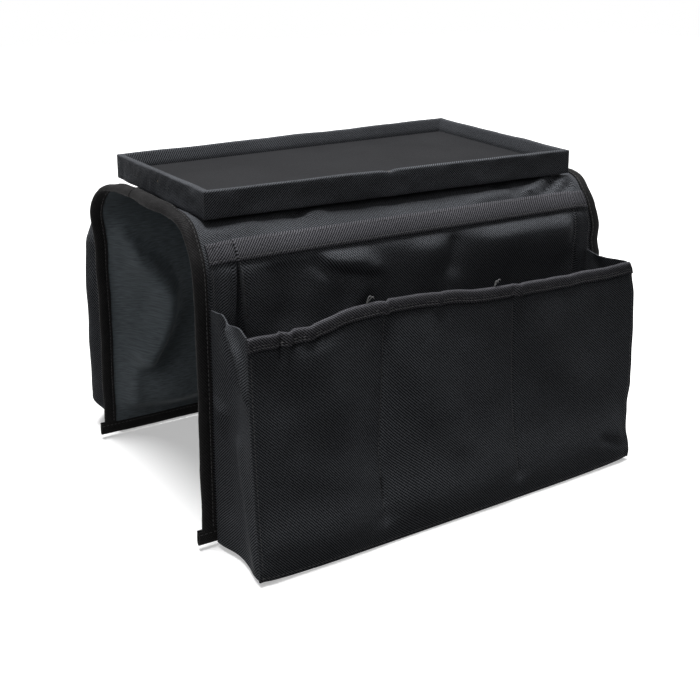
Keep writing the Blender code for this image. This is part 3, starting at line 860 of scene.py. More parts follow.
@dataclass
class Cover:
    """One half of the saddle: its outer cloth, lining, edge bindings and bottom hem."""

    room: Workroom
    flank: Flank
    cloth_relief: Relief
    lining_relief: Relief
    replaced: tuple[str, ...]
    lining_replaced: tuple[str, ...]
    cloth_half: float = 0.1743
    binding_width: float = 0.009
    hem_height: float = 0.01
    hem_overhang: float = 0.003
    cloth: float = 0.0011
    lining_outside: float = -0.0012
    lining: float = 0.0007
    deck_sag: float = 0.0012
    tape_outside: float = 0.0009
    tape_inside: float = -0.0028
    quiet_from: float = 1.0

    def cloth_surface(self, x: float, down: float, out: float) -> Vector:
        """The outer cloth's face, flat under the tapes and where the sleeve covers it."""
        edge = self.flank.cover_half
        calm = smooth(self.quiet_from, self.quiet_from - 0.006, down)
        calm *= smooth(edge - 0.011, edge - self.binding_width - 0.006, abs(x))
        calm *= smooth(0.0, 0.012, self.flank.at_height(0.0) - down)
        return self.flank.place(x, down, out + calm * self.cloth_relief.lift(x, down))

    def lining_surface(self, x: float, down: float, out: float) -> Vector:
        """The lining's outer face, which sags towards the arm between its sewn edges."""
        inner = self.flank.cover_half - self.binding_width
        calm = smooth(inner - 0.001, inner - 0.016, abs(x))
        calm *= smooth(0.0105, 0.03, self.flank.at_height(0.0) - down)
        sag = max(0.0, -self.lining_relief.lift(x, down))
        sag += self.deck_sag * smooth(self.flank.drop_start, self.flank.deck_half, down)
        return self.flank.place(x, down, self.lining_outside + out - calm * sag)

    def build(self) -> None:
        """Makes the half's sheets, tapes and stitches."""
        bottom = self.flank.at_height(0.0011)
        columns = spaced(-self.cloth_half, self.cloth_half, GRID)
        rows = spaced(0.0, bottom, GRID)
        name, finishes = self.flank.name, self.room.finishes
        cloth = self.room.sheet(
            f"{name}_cover_cloth", columns, rows, self.cloth_surface, self.cloth, finishes.twill_falling
        )
        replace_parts(self.flank.bend(cloth), *self.replaced)
        lining = self.room.sheet(
            f"{name}_cover_lining", columns, rows, self.lining_surface, self.lining, finishes.lining
        )
        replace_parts(self.flank.bend(lining), *self.lining_replaced)
        trims = [piece for _, hand in hands() for piece in self.side_binding(hand)]
        trims += self.bottom_hem()

    def side_binding(self, hand: int) -> list[Thing]:
        """The tape round one end's edge, and its stitches.

        Args:
            hand: -1 for the left end and 1 for the right one.

        Returns:
            The two pieces.
        """
        side = "left" if hand < 0 else "right"
        edge = self.flank.cover_half
        fold = TapeFold(
            hand * (edge - self.binding_width), hand * edge, self.tape_outside, self.tape_inside
        )
        bottom = self.flank.at_height(self.hem_height + 0.0003)
        rows = spaced(0.0, bottom, 0.0024)

        def point(place: Place, down: float) -> Vector:
            """A point of the tape, a little uneven along its length."""
            pucker = 0.00032 * rumple(down, hand * 3.0, 0.0042, self.flank.sign)
            drift = 0.0008 * rumple(down, hand * 5.0, 0.024, self.flank.sign)
            drift *= smooth(0.0, 0.01, bottom - down)
            out = place[1] + fold.outwards(place[1]) * pucker
            return self.flank.place(place[0] + drift, down, out)

        tape = self.room.slab(
            f"{self.flank.name}_edge_binding_{side}",
            fold.stations(),
            rows,
            lambda station, down: (point(station[0], down), point(station[1], down)),
            lambda station, down: (station[2], -down),
            self.room.finishes.webbing,
        )
        nodes = [f"{self.flank.name}_binding_{side}", f"deck_binding_{side}"]
        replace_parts(self.flank.bend(tape), *nodes)
        line = hand * (edge - self.binding_width + fold.stitch_in)
        run = [(line, down) for down in spaced(0.001, bottom - 0.001, 0.004)]
        sewn = self.room.stitches(
            f"{self.flank.name}_edge_binding_{side}_stitches", fold.sewn(self.flank.place, run)
        )
        self.flank.bend(sewn)
        return [tape, sewn]

    def bottom_hem(self) -> list[Thing]:
        """The tape round the flap's bottom edge, and its stitches."""
        fold = TapeFold(self.hem_height, 0.0, self.tape_outside, self.tape_inside)
        reach = self.flank.cover_half + self.hem_overhang

        def point(x: float, place: Place) -> Vector:
            """A point of the tape, a little uneven along its length."""
            pucker = 0.00014 * rumple(x, 1.0, 0.0035, self.flank.sign + 4)
            down = self.flank.at_height(place[0] + 0.0005 * rumple(x, 8.0, 0.03, 1.0))
            return self.flank.place(x, down, place[1] + fold.outwards(place[1]) * pucker)

        tape = self.room.slab(
            f"{self.flank.name}_flap_hem_tape",
            spaced(-reach, reach, 0.003),
            fold.stations(),
            lambda x, station: (point(x, station[0]), point(x, station[1])),
            lambda x, station: (x, -station[2]),
            self.room.finishes.webbing,
        )
        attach(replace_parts(tape, f"{self.flank.name}_bottom_hem"), self.flank.flap)
        down = self.flank.at_height(self.hem_height - fold.stitch_in)
        run = [(x, down) for x in spaced(-reach + 0.002, reach - 0.002, 0.01)]
        sewn = self.room.stitches(
            f"{self.flank.name}_flap_hem_stitches", fold.sewn(self.flank.place, run)
        )
        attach(sewn, self.flank.flap)
        return [tape, sewn]


@dataclass
class Sleeve:
    """The flat pleated sleeve on the front flap, and the band along its mouth."""

    room: Workroom
    flank: Flank
    half: float = 0.1647
    mouth_angle: float = math.radians(51)
    band_width: float = 0.013
    lift_most: float = 0.0055
    side_lift: float = 0.0035
    right_lift: float = 0.0012
    strip: float = 0.005
    side_fold: float = 0.011
    pleat_x: float = 0.1465
    pleat_mouth: float = 0.0008
    pleat_width: float = 0.0084
    cloth: float = 0.0012
    tape: float = 0.0008
    gap: float = 0.0003
    bottom: float = 0.0106
    crease: Hump = Hump(0.0009, 0.0014)
    sink: Hump = Hump(0.0002, 0.0005, 0.0017)
    lip_rise: float = 0.0007
    relief: Relief = field(default_factory=Relief)

    @property
    def top(self) -> float:
        """How far down the panel starts, under the band."""
        return self.flank.at_angle(self.mouth_angle) + self.tape + self.gap

    @property
    def end(self) -> float:
        """How far down the panel ends."""
        return self.flank.at_height(self.bottom)

    def share(self, down: float) -> float:
        """The share of the panel's height above a place."""
        return max(0.0, (down - self.top) / (self.end - self.top))

    def half_pleat(self, down: float) -> float:
        """Half the pleat's width at a place: it opens, then closes again at the bottom."""
        share = self.share(down)
        opened = smooth(0, 0.4, share) * smooth(1, 0.7, share)
        return (self.pleat_mouth + (self.pleat_width - self.pleat_mouth) * opened) / 2

    def columns(self) -> list[tuple[float, float, str]]:
        """Places along the panel.

        Returns:
            For each an x, an offset across the pleat in half widths, and the kind of place.
        """
        half = [(x, 0.0, "main") for x in spaced(0, self.pleat_x - 0.0075, GRID)]
        half += [(self.pleat_x - 0.0035, -0.6, "main"), (self.pleat_x - 0.0018, -0.8, "main")]
        half += [(self.pleat_x - 0.0009, -1.0, "lip"), (self.pleat_x - 0.0003, -1.0, "lip")]
        half += [(self.pleat_x, -1.3, "wall"), (self.pleat_x, -1.15, "pleat")]
        half += [(self.pleat_x, 0.0, "pleat"), (self.pleat_x, 0.8, "pleat")]
        half += [(self.pleat_x + 0.0002, 1.0, "side"), (self.pleat_x + 0.0012, 1.0, "side")]
        half += [(x, 0.0, "side") for x in spaced(self.pleat_x + 0.0045, self.half, 0.002)]
        return [(-x, offset, kind) for x, offset, kind in reversed(half[1:])] + half

    def point(self, column: tuple[float, float, str], down: float) -> Place:
        """Where a column lies at a place down the panel.

        Args:
            column: One of the columns.
            down: The distance down.

        Returns:
            The place along X, and the lift off the flap.
        """
        x, offset, kind = column
        hand = math.copysign(1.0, x)
        half_width = self.half_pleat(down)
        swell = math.sin(math.pi * (0.2 + 0.8 * self.share(down) ** 0.5))
        side_most = self.side_lift if x < 0 else self.right_lift
        most = side_most if kind == "side" else self.lift_most
        fade = smooth(self.half - self.strip, self.half - self.side_fold, abs(x))
        lift = most * swell * fade
        loose = smooth(self.top + self.band_width, self.top + self.band_width + 0.008, down)
        loose *= smooth(0.0, 0.02, self.end - down) * smooth(0.145, 0.135, abs(x))
        lift += loose * self.relief.lift(x, down)
        opened = smooth(0.0, 0.12, self.share(down))
        lift -= self.crease.at(down - self.top - self.band_width)
        if kind == "lip":
            lift += self.lip_rise * opened
        if kind in ("pleat", "wall"):
            lift *= 1 - opened * (0.6 if kind == "wall" else 0.95 - 0.95 * max(0.0, offset) ** 4)
        return x + hand * offset * half_width, self.gap + max(0.0, lift)

    def surface(self, x: float, down: float, out: float) -> Vector:
        """The panel's inner face away from the pleats."""
        kind = "side" if abs(x) > self.pleat_x else "main"
        at, lift = self.point((x, 0.0, kind), down)
        return self.flank.place(at, down, lift + out)

    def build(self) -> None:
        """Makes the panel, its band and their stitches."""
        rows = spaced(self.top, self.end, GRID)

        def pair(column: tuple[float, float, str], down: float) -> tuple[Vector, Vector]:
            """The panel's outer and inner face."""
            x, lift = self.point(column, down)
            return self.flank.place(x, down, lift + self.cloth), self.flank.place(x, down, lift)

        panel = self.room.slab(
            "front_sleeve_cloth",
            self.columns(),
            rows,
            pair,
            lambda column, down: (
                column[0] + math.copysign(0.0025, column[0]) * column[1],
                -down if abs(column[0]) < self.pleat_x else down,
            ),
            self.room.finishes.twill_falling,
        )
        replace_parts(self.flank.bend(panel), "front_sleeve_panel")
        band, sewn = self.make_band(), self.make_stitches()
        self.end - self.top

    def make_band(self) -> Thing:
        """The band over the mouth's edge, turned down to the cover at its top."""
        edge = self.flank.at_angle(self.mouth_angle)
        low = edge + self.band_width
        over = self.cloth + self.gap
        legs = [low, low - 0.0006, low - 0.0012, low - 0.0017, low - 0.0022, low - 0.003]
        legs += spaced(low - 0.003, edge + 0.0022, 0.002)[1:]
        legs += [edge + 0.0017, edge + 0.0012]
        stations = [(down, over + self.tape, down, over) for down in legs]
        stations.append((edge + 0.0004, over + self.tape * 0.85, edge + 0.001, over - 0.0001))
        stations.append((edge, over + 0.0002, edge + self.tape, over - 0.0004))

        def pair(
            column: tuple[float, float, str], station: tuple[float, float, float, float]
        ) -> tuple[Vector, Vector]:
            """The band's outer and inner face, or its foot where the station is a turn."""
            places = []
            for down, out in (station[:2], station[2:]):
                x, lift = self.point((*column[:2], "side" if column[2] == "side" else "main"), down)
                wave = 0.00035 * rumple(x, 2.0, 0.018, 6.0) if abs(x) < self.pleat_x else 0.0
                if out < 0:
                    places.append(self.flank.place(x, down, self.gap))
                else:
                    high = lift + out + wave - self.sink.at(low - down)
                    places.append(self.flank.place(x, down, high))
            return places[0], places[1]

        stations.append((edge, -1.0, edge + self.tape, -1.0))
        band = self.room.slab(
            "front_sleeve_band",
            self.columns(),
            stations,
            pair,
            lambda column, station: (column[0], -station[0]),
            self.room.finishes.band,
        )
        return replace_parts(self.flank.bend(band), "front_sleeve_hem")

    def make_stitches(self) -> Thing:
        """The sewn lines along the band, the pleats' lips and the panel's sides."""
        edge = self.flank.at_angle(self.mouth_angle)
        reach = self.half - 0.001
        band_out = self.cloth + self.gap + self.tape
        lines: list[tuple[Surface, list[Place], float]] = []
        for down in (edge + self.band_width - 0.0017, edge + 0.0024):
            run = [(x, down) for x in spaced(-reach, reach, 0.006)]
            lines.append((self.surface, run, band_out))
        downs = spaced(edge + self.band_width + 0.001, self.end - 0.004, 0.004)
        for _, hand in hands():

            def lip(x: float, down: float, out: float, hand: int = hand) -> Vector:
                """The main panel's lip beside the pleat."""
                at, lift = self.point((hand * (self.pleat_x - 0.0009), -1.0, "lip"), down)
                return self.flank.place(at, down, lift + out)

            lines.append((lip, [(0.0, down) for down in downs], self.cloth))
            side = hand * (self.half - 0.0016)
            lines.append((self.surface, [(side, down) for down in downs], self.cloth))
        return self.flank.bend(self.room.stitches("front_sleeve_stitches", lines))


@dataclass
class Pocket:
    """One boxy pocket: its outer wall, hem, slot lining, gussets and floor."""

    room: Workroom
    flank: Flank
    face: float
    lean: float
    hem_bow: float
    hem_rise: float
    foot_out: float
    foot_drop: float
    relief: Relief
    kinks: Relief
    gusset_reliefs: dict[str, Relief]
    seams: tuple[tuple[Place, ...], ...]
    ends_out: dict[str, tuple[Place, ...]]
    gusset_bulge: dict[str, tuple[Place, ...]] = field(default_factory=dict)
    gusset_tops: dict[str, tuple[Place, ...]] = field(default_factory=dict)
    height: float = 0.157
    half: float = 0.161
    depth: float = 0.056
    hem_height: float = 0.009
    cloth: float = 0.0012
    lining: float = 0.0008
    gap: float = 0.0003
    gusset_cloth: float = 0.001
    tape: float = 0.0011
    slot_bottom: float = 0.02
    slot_top: float = 0.145
    slot_bulge: float = 0.0025
    floor_height: float = 0.0006
    flap_edge: float = 0.1647
    seam_reach: Hump = Hump(1.0, 0.03)
    seam_dips: tuple[Hump, ...] = (Hump(0.0016, 0.0011), Hump(0.0016, 0.009))
    belly: Hump = Hump(0.0032, 0.017, 0.021)
    hem_crease: Hump = Hump(0.0014, 0.001, -0.0012)
    edge_roll: Hump = Hump(0.0006, 0.0012, 0.0008)
    foot_tuck: Hump = Hump(0.0016, 0.0035)

    def out(self, x: float, z: float) -> float:
        """How far from the tray's centre line the outer face stands, without its folds."""
        up = min(1.0, max(0.0, z / self.height))
        return self.face - self.lean * (1 - (1 - up) ** 1.6) - self.hem_bow * self.taut(x) * up**1.6

    def taut(self, x: float) -> float:
        """How taut the hem is drawn at a place, from 0 to 1."""
        along = x / self.half
        return smooth(-0.75, -0.48, along) * smooth(0.36, -0.24, along)

    def pinch(self, x: float, z: float) -> float:
        """How far an end of the wall is drawn along X."""
        drawn = between(self.ends_out["left" if x < 0 else "right"], z)
        return drawn * smooth(0.6, 1.0, abs(x) / self.half) * math.copysign(1.0, x)

    def follow(self, x: float, z: float) -> float:
        """A place along X, moved so that the seams' columns keep to their slanting seams."""
        for seam in self.seams:
            shift = self.seam_x(seam, z) - seam[0][0]
            x += shift * self.seam_reach.at(x - seam[0][0])
        return x

    def groove(self, x: float, z: float) -> float:
        """How deep the seams draw the wall in."""
        sewn = smooth(0.012, self.slot_bottom, z) * smooth(0.149, self.slot_top, z)
        return sewn * sum(dip.at(x - seam[0][0]) for dip in self.seam_dips for seam in self.seams)

    def surface(self, x: float, z: float, out: float) -> Vector:
        """A point of the outer wall, with its folds, belly and sewn seams."""
        groove = self.groove(x, z)
        x = self.follow(x, z)
        ends = smooth(self.half - 0.001, self.half - 0.01, abs(x))
        calm = ends * smooth(0.0, 0.012, z) * (1 - 0.75 * smooth(0.138, 0.148, z))
        folds = calm * self.relief.lift(x, z) + ends * self.kinks.lift(x, z)
        tuck = self.foot_tuck.at(z) + self.hem_crease.at(z - self.height + self.hem_height) * ends
        roll = self.edge_roll.at(self.half - abs(x))
        y = self.out(x, z) - groove + folds + self.belly.at(z) * ends - tuck + roll + out
        high = z + self.hem_lift(x, z) - self.drop(x / self.half) * smooth(0.05, 0.0, z)
        return Vector((x + self.pinch(x, z), self.flank.centre + self.flank.sign * y, high))

    def drop(self, along: float) -> float:
        """How far the pocket's bottom edge hangs below its corners."""
        return self.foot_drop * (1 - min(1.0, abs(along)) ** 6)

    def hem_lift(self, x: float, z: float) -> float:
        """How far the wall's top edge wanders up and down."""
        wander = 0.0011 * rumple(x, 3.0, 0.03, self.flank.sign) + 0.0004 * rumple(x, 9.0, 0.008, 2.0)
        ends = smooth(self.half - 0.001, self.half - 0.012, abs(x))
        wander *= ends * smooth(0.11, 0.15, z)
        return wander + self.hem_rise * self.taut(x) * smooth(0.05, 0.157, z)

    def columns(self, half: float) -> list[float]:
        """Places along the wall, closer together at its ends and its seams."""
        steps = (-0.0024, -0.0012, -0.0006, 0.0, 0.0006, 0.0012, 0.0024)
        near = [seam[0][0] + step for seam in self.seams for step in steps]
        places = spaced(-self.half, self.half, GRID) + [-0.1602, -0.1595, 0.1595, 0.1602]
        places = [x for x in places if all(abs(x - mark) > 0.0008 for mark in near)]
        kept: list[float] = []
        for x in sorted(places + near):
            if abs(x) < half - 0.0003 and (not kept or x - kept[-1] > 0.00035):
                kept.append(x)
        return [-half] + kept + [half]

    def build(self) -> None:
        """Makes the whole pocket."""
        wall, hem, sewn = self.make_wall(), self.make_hem(), self.make_stitches()
        slot = self.make_slot_lining()
        for side, hand in hands():
            gusset = self.make_gusset(side, hand)
        floor = self.make_floor()

    def make_wall(self) -> Thing:
        """The outer wall's cloth."""
        low = self.height - self.hem_height
        heights = [0.0, 0.0008, 0.0016, *spaced(0.0026, low - 0.003, GRID)]
        heights += [low - 0.0024, low - 0.0018, low - 0.0012, low - 0.0006, low + 0.0002]
        heights += spaced(low + 0.0022, self.height - 0.0011, GRID)
        wall = self.room.sheet(
            f"{self.flank.name}_pocket_cloth",
            self.columns(self.half),
            heights,
            self.surface,
            self.cloth,
            self.room.finishes.wall,
        )
        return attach(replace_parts(wall, f"{self.flank.name}_pocket_panel"), self.flank.pocket)

    @property
    def hem_fold(self) -> TapeFold:
        """The tape folded over the wall's top edge."""
        inside = -self.cloth - self.tape
        return TapeFold(self.height - self.hem_height, self.height, self.tape, inside)

    def make_hem(self) -> Thing:
        """The folded tape along the wall's top edge."""
        fold = self.hem_fold

        def point(x: float, place: Place) -> Vector:
            """A point of the tape, a little puckered."""
            pucker = 0.00035 * rumple(x, 4.0, 0.0045, 5.0 + self.flank.sign)
            return self.surface(x, place[0], place[1] + fold.outwards(place[1]) * pucker)

        hem = self.room.slab(
            f"{self.flank.name}_pocket_hem_tape",
            self.columns(self.half),
            fold.stations(),
            lambda x, station: (point(x, station[0]), point(x, station[1])),
            lambda x, station: (x, -station[2]),
            self.room.finishes.band,
        )
        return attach(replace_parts(hem, f"{self.flank.name}_pocket_hem"), self.flank.pocket)

    def make_stitches(self) -> Thing:
        """The sewn lines of the hem, the slots' seams and the wall's edges."""
        low = self.height - self.hem_height
        reach = self.half - 0.001
        lines: list[tuple[Surface, list[Place], float]] = []
        for z in (low + 0.0017, low + 0.0034):
            lines += self.hem_fold.sewn(self.surface, [(x, z) for x in spaced(-reach, reach, 0.005)])
        for seam in self.seams:
            run = [(seam[0][0], z) for z in spaced(self.slot_bottom, self.slot_top, 0.006)]
            lines.append((self.surface, run, 0.0))
        for _, hand in hands():
            run = [(hand * (self.half - 0.0022), z) for z in spaced(0.003, low - 0.0015, 0.005)]
            lines.append((self.surface, run, 0.0))
        run = [(x, 0.0026) for x in spaced(-reach + 0.002, reach - 0.002, 0.006)]
        lines.append((self.surface, run, 0.0))
        sewn = self.room.stitches(f"{self.flank.name}_pocket_stitches", lines)
        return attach(sewn, self.flank.pocket)

    def slot_gap(self, x: float) -> float:
        """How far behind the outer face the second layer lies: it bellies between its seams."""
        edge = self.half - 0.0016
        marks = [-edge, *(seam[0][0] for seam in self.seams), edge]
        for start, end in zip(marks, marks[1:]):
            if start <= x <= end:
                share = (x - start) / (end - start)
                return self.cloth + self.gap + self.slot_bulge * math.sin(math.pi * share)
        return self.cloth + self.gap

    @staticmethod
    def seam_x(seam: tuple[Place, ...], z: float) -> float:
        """Where a seam lies along X at a height."""
        for (x0, z0), (x1, z1) in zip(seam, seam[1:]):
            if z >= z1:
                return x0 + (x1 - x0) * min(1.0, max(0.0, (z0 - z) / (z0 - z1)))
        return seam[-1][0]

    def make_slot_lining(self) -> Thing:
        """The second layer behind the wall, which makes three slots side by side."""

        def surface(x: float, z: float, out: float) -> Vector:
            """The second layer's face towards the wall."""
            return self.surface(x, z, out - self.slot_gap(x))

        slot = self.room.sheet(
            f"{self.flank.name}_slot_cloth",
            self.columns(self.half - 0.0016),
            spaced(self.slot_bottom, self.slot_top, 0.0035),
            surface,
            self.lining,
            self.room.finishes.lining,
        )
        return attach(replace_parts(slot, f"{self.flank.name}_slot_lining"), self.flank.pocket)

    def gusset_span(self, height: float) -> Place:
        """Where a gusset starts at the flap and ends behind the wall, from the tray's centre line."""
        foot = self.flank.place(0, self.flank.at_height(height), self.foot_out)
        low = self.height - self.hem_height
        end = self.out(self.half, height) - self.cloth + 0.0002
        end -= self.tape * smooth(low - 0.004, low - 0.001, height) + self.foot_tuck.at(height)
        return abs(foot.y - self.flank.centre), end

    def gusset_surface(self, side: str, hand: int) -> Surface:
        """The outer face of one gusset.

        Args:
            side: left or right.
            hand: Its sign along X.

        Returns:
            A surface over the share from the flap to the wall and the height.
        """
        relief = self.gusset_reliefs[side]
        bulges, tops = self.gusset_bulge[side], self.gusset_tops[side]

        def surface(share: float, height: float, out: float) -> Vector:
            """A point of the gusset."""
            start, end = self.gusset_span(height)
            arch = math.sin(math.pi * share)
            x = self.flap_edge + (self.half - self.gap - self.flap_edge) * share
            x += between(bulges, height) * arch**2
            x += arch**0.5 * relief.lift(share * self.depth, height)
            rise = smooth(0.6 * self.height, self.height, height)
            rise *= between(tops, share) + 0.0006 * arch * rumple(share, 1.0, 0.12, 2.0)
            x += self.pinch(hand * self.half, height) * hand * share
            y = self.flank.centre + self.flank.sign * (start + (end - start) * share)
            return Vector((hand * (x + out), y, height + rise))

        return surface

    def fold_with_wall(self, piece: Thing) -> Thing:
        """Bakes a piece's placement into its mesh; the span between the flap and the wall is worked out
        but not used.
        """
        start, end = self.gusset_span(0.0)
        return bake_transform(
            piece,
            self.flank.flap,
            self.flank.pocket,
            start=(0.0, self.flank.centre + self.flank.sign * start, 0.0),
            end=(0.0, self.flank.centre + self.flank.sign * end, 0.0),
        )

    def make_gusset(self, side: str, hand: int) -> Thing:
        """One folding end of the pocket."""
        surface = self.gusset_surface(side, hand)
        gusset = self.room.slab(
            f"{self.flank.name}_gusset_cloth_{side}",
            spaced(0.0, 1.0, 1 / 28),
            spaced(self.floor_height, self.height, GRID),
            lambda share, z: (surface(share, z, 0.0), surface(share, z, -self.gusset_cloth)),
            lambda share, z: (share * self.depth, z),
            self.room.finishes.twill_rising,
        )
        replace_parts(gusset, f"{self.flank.name}_gusset_{side}")
        return self.fold_with_wall(gusset)

    def make_floor(self) -> Thing:
        """The pocket's floor cloth."""
        low, high = self.floor_height, self.floor_height + self.gusset_cloth
        surfaces = {hand: self.gusset_surface(side, hand) for side, hand in hands()}

        def point(along: float, share: float, z: float) -> Vector:
            """A point of the floor, between the two gussets."""
            ends = surfaces[-1 if along < 0 else 1](share, self.floor_height, -0.0013)
            return Vector((abs(along) * ends.x, ends.y, z - self.drop(along) * share**2))

        floor = self.room.slab(
            f"{self.flank.name}_pocket_floor_cloth",
            spaced(-1.0, 1.0, 1 / 40),
            spaced(0.0, 1.0, 1 / 12),
            lambda a, share: (point(a, share, high), point(a, share, low)),
            lambda a, share: (a * self.half, share * self.depth),
            self.room.finishes.twill_falling,
        )
        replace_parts(floor, f"{self.flank.name}_pocket_floor")
        return self.fold_with_wall(floor)


@dataclass
class Tray:
    """The cloth-covered tray on the deck, and the tapes that hold it there."""

    room: Workroom
    centre: float
    length: float = 0.318
    width: float = 0.172
    bottom: float = 0.217
    top: float = 0.236
    floor_top: float = 0.2222
    wall: float = 0.005
    corner: float = 0.0022
    edge: float = 0.0012
    cloth: float = 0.0008
    padding: float = 0.0028
    foot: float = 0.0034
    twist: float = 0.0075
    dent: Hump = Hump(0.0011, 0.004, -0.015)
    corner_seam: Hump = Hump(0.0008, 0.14, 0.5)
    anchor_places: tuple[tuple[str, float], ...] = (("front", -0.04988), ("rear", 0.02666))
    anchor_reach: Place = (0.14, 0.01)
    anchor_heights: Place = (0.2157, 0.2167)
    rim_boards: tuple[str, ...] = tuple(f"rim_board_{s}" for s in ("front", "rear", "left", "right"))

    def twisted(self, place: Vector) -> Vector:
        """A point of the tray, whose rear right corner is warped upwards."""
        along = place.x / self.length + 0.5
        across = (place.y - self.centre) / self.width + 0.5
        return place + Vector((0.0, 0.0, self.twist * along * across))

    def edge_arc(self, inset: float, angle: float) -> tuple[Place, Place]:
        """Both faces at an angle on the wall's round top edge, whose middle has this inset."""
        reach, centre = Vector((math.cos(angle), math.sin(angle))), Vector((inset, self.top - self.edge))
        return tuple(centre + reach * self.edge), tuple(centre + reach * (self.edge - self.cloth))

    def section(self) -> list[tuple[Place, Place, float]]:
        """The wrapped wall's section.

        Returns:
            For each row the outer face's inset and height, the inner face's, and how far along the
            section it is.
        """
        made: list[tuple[Place, Place]] = [
            ((0.0006, self.bottom), (0.0012, self.bottom + 0.0007)),
            ((0.0002, self.bottom + 0.0002), (0.0009, self.bottom + 0.0008)),
        ]
        rise = spaced(self.bottom + 0.0008, self.top - self.edge, 0.0022)
        made += [((0.0, z), (self.cloth, z)) for z in rise]
        eighth = math.pi / 8
        made += [self.edge_arc(self.edge, math.pi - eighth * i) for i in range(1, 5)]
        made.append(((self.wall / 2, self.top), (self.wall / 2, self.top - self.cloth)))
        made += [self.edge_arc(self.wall - self.edge, math.pi / 2 - eighth * i) for i in range(4)]
        for z in spaced(self.top - self.edge, self.floor_top + 0.0003, 0.0022):
            swell = self.foot * smooth(self.top, self.floor_top + self.padding, z) ** 0.8
            made.append(((self.wall + swell, z), (self.wall - self.cloth, z)))
        run, rows = 0.0, []
        for index, (outer, inner) in enumerate(made):
            if index:
                run += (Vector(outer) - Vector(made[index - 1][0])).length
            rows.append((outer, inner, run))
        return rows

    def rim_points(self) -> list[tuple[int, float, float]]:
        """Stations round the tray.

        Returns:
            For each the corner that it is near, its share of the way round that corner or -1 on a
            straight, and the share of the straight after it.
        """
        made: list[tuple[int, float, float]] = []
        for corner in range(4):
            made += [(corner, turn, 0.0) for turn in spaced(0.0, 1.0, 1 / 8)]
            long = self.length if corner % 2 else self.width
            made += [(corner, 1.0, run) for run in spaced(0.0, 1.0, 0.003 / long)[1:-1]]
        return made + [(0, 0.0, -1.0)]

    def rim_place(self, station: tuple[int, float, float], inset: float, z: float) -> Vector:
        """A point of the rim.

        Args:
            station: One of the rim's stations.
            inset: How far inside the tray's outline.
            z: The height.

        Returns:
            The point.
        """
        corner, turn, run = station
        signs = ((1, -1), (1, 1), (-1, 1), (-1, -1))
        radius = max(self.corner - inset, 0.0004)

        def at(index: int, share: float) -> Vector:
            """A point on one rounded corner."""
            sx, sy = signs[index % 4]
            first = math.atan2(sy, sx) - math.pi / 4
            angle = first + math.pi / 2 * share
            keep = inset + radius
            x = sx * (self.length / 2 - keep) + radius * math.cos(angle)
            y = sy * (self.width / 2 - keep) + radius * math.sin(angle)
            return Vector((x, y))

        flat = at(corner, turn)
        if run > 0:
            flat = at(corner, 1.0).lerp(at(corner + 1, 0.0), run)
        wave = 0.0
        if run > 0:
            calm = smooth(0.0, 0.05, run) * smooth(1.0, 0.95, run)
            wave = calm * rumple(flat.x, flat.y, 0.035, 3.0)
        high = smooth(self.bottom + 0.006, self.top, z)
        dent = self.dent.at(flat.x) if flat.y < 0 else 0.0
        z += (0.0006 * wave - dent) * high
        outwards = Vector((flat.x / self.length, flat.y / self.width)).normalized()
        seam = self.corner_seam.at(turn) if run == 0 and inset < 0.002 else 0
        skin = smooth(0.004, 0.0, inset)
        creased = rumple(flat.x + flat.y, z, 0.016, 5.0) + 0.5 * rumple(flat.x - flat.y, z, 0.006, 6.0)
        swell = 0.0004 * wave + 0.0012 * creased * smooth(0, 0.03, run) * smooth(1, 0.97, run)
        flat = flat + outwards * (seam + swell * skin)
        return self.twisted(Vector((flat.x, self.centre + flat.y, z)))

    def build(self) -> None:
        """Makes the tray's cloth, boards and tapes."""
        rim = self.make_rim()
        floor = self.make_plate(
            "tray_floor_lining",
            self.wall + 0.0003,
            (self.floor_top - self.cloth, self.floor_top),
            self.room.finishes.tray_floor,
            self.padding,
        )
        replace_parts(floor, "tray_floor_cloth")
        under = self.make_plate(
            "tray_underside_lining",
            self.cloth + 0.0003,
            (self.bottom, self.bottom + self.cloth),
            self.room.finishes.underside,
            0.0,
        )
        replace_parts(under, "tray_underside_cloth")
        [f"tray_stiff_{name}" for name in self.rim_boards]
        for name in ("base_board", *self.rim_boards):
            self.make_board(name)
        for side, across in self.anchor_places:
            self.make_anchor(side, self.centre + across)

    def make_rim(self) -> Thing:
        """The cloth wrapped over the walls."""
        stations = self.rim_points()
        runs, previous = {}, None
        run = 0.0
        for station in stations:
            place = self.rim_place(station, 0.0, self.top)
            run += (place - previous).length if previous else 0.0
            runs[station] = run
            previous = place
        rim = self.room.slab(
            "tray_rim_cloth",
            stations,
            self.section(),
            lambda station, row: (self.rim_place(station, *row[0]), self.rim_place(station, *row[1])),
            lambda station, row: (runs[station], row[2]),
            self.room.finishes.tray_wrap,
            closed=True,
        )
        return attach(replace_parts(rim, "tray_rim_cover"), "deck")

    def make_plate(self, name: str, inset: float, heights: Place, finish: Finish, swell: float) -> Thing:
        """A flat cloth in or under the tray.

        Args:
            name: The piece's name.
            inset: How far inside the tray's outline it ends.
            heights: Its lower and upper face.
            finish: Its material.
            swell: How uneven its upper face is.

        Returns:
            The piece.
        """
        length, width = self.length / 2 - inset, self.width / 2 - inset

        def pair(x: float, y: float) -> tuple[Vector, Vector]:
            """The upper and the lower face."""
            edge = min(length - abs(x), width - abs(y))
            lift = smooth(-0.0006, 0.0022, edge) + 0.12 * smooth(0.0, 0.03, edge)
            lift += 0.12 * smooth(0.0, 0.01, edge) * rumple(x, y, 0.045, 8.0)
            high = Vector((x, self.centre + y, heights[1] + swell * lift))
            return self.twisted(high), self.twisted(Vector((x, self.centre + y, heights[0])))

        def marks(half: float) -> list[float]:
            """Places across the cloth, closer together at its edges."""
            near = [half, half - 0.0008, half - 0.0016, half - 0.0028, half - 0.0045]
            return [-x for x in near] + spaced(0.007 - half, half - 0.007, 0.004) + near[::-1]

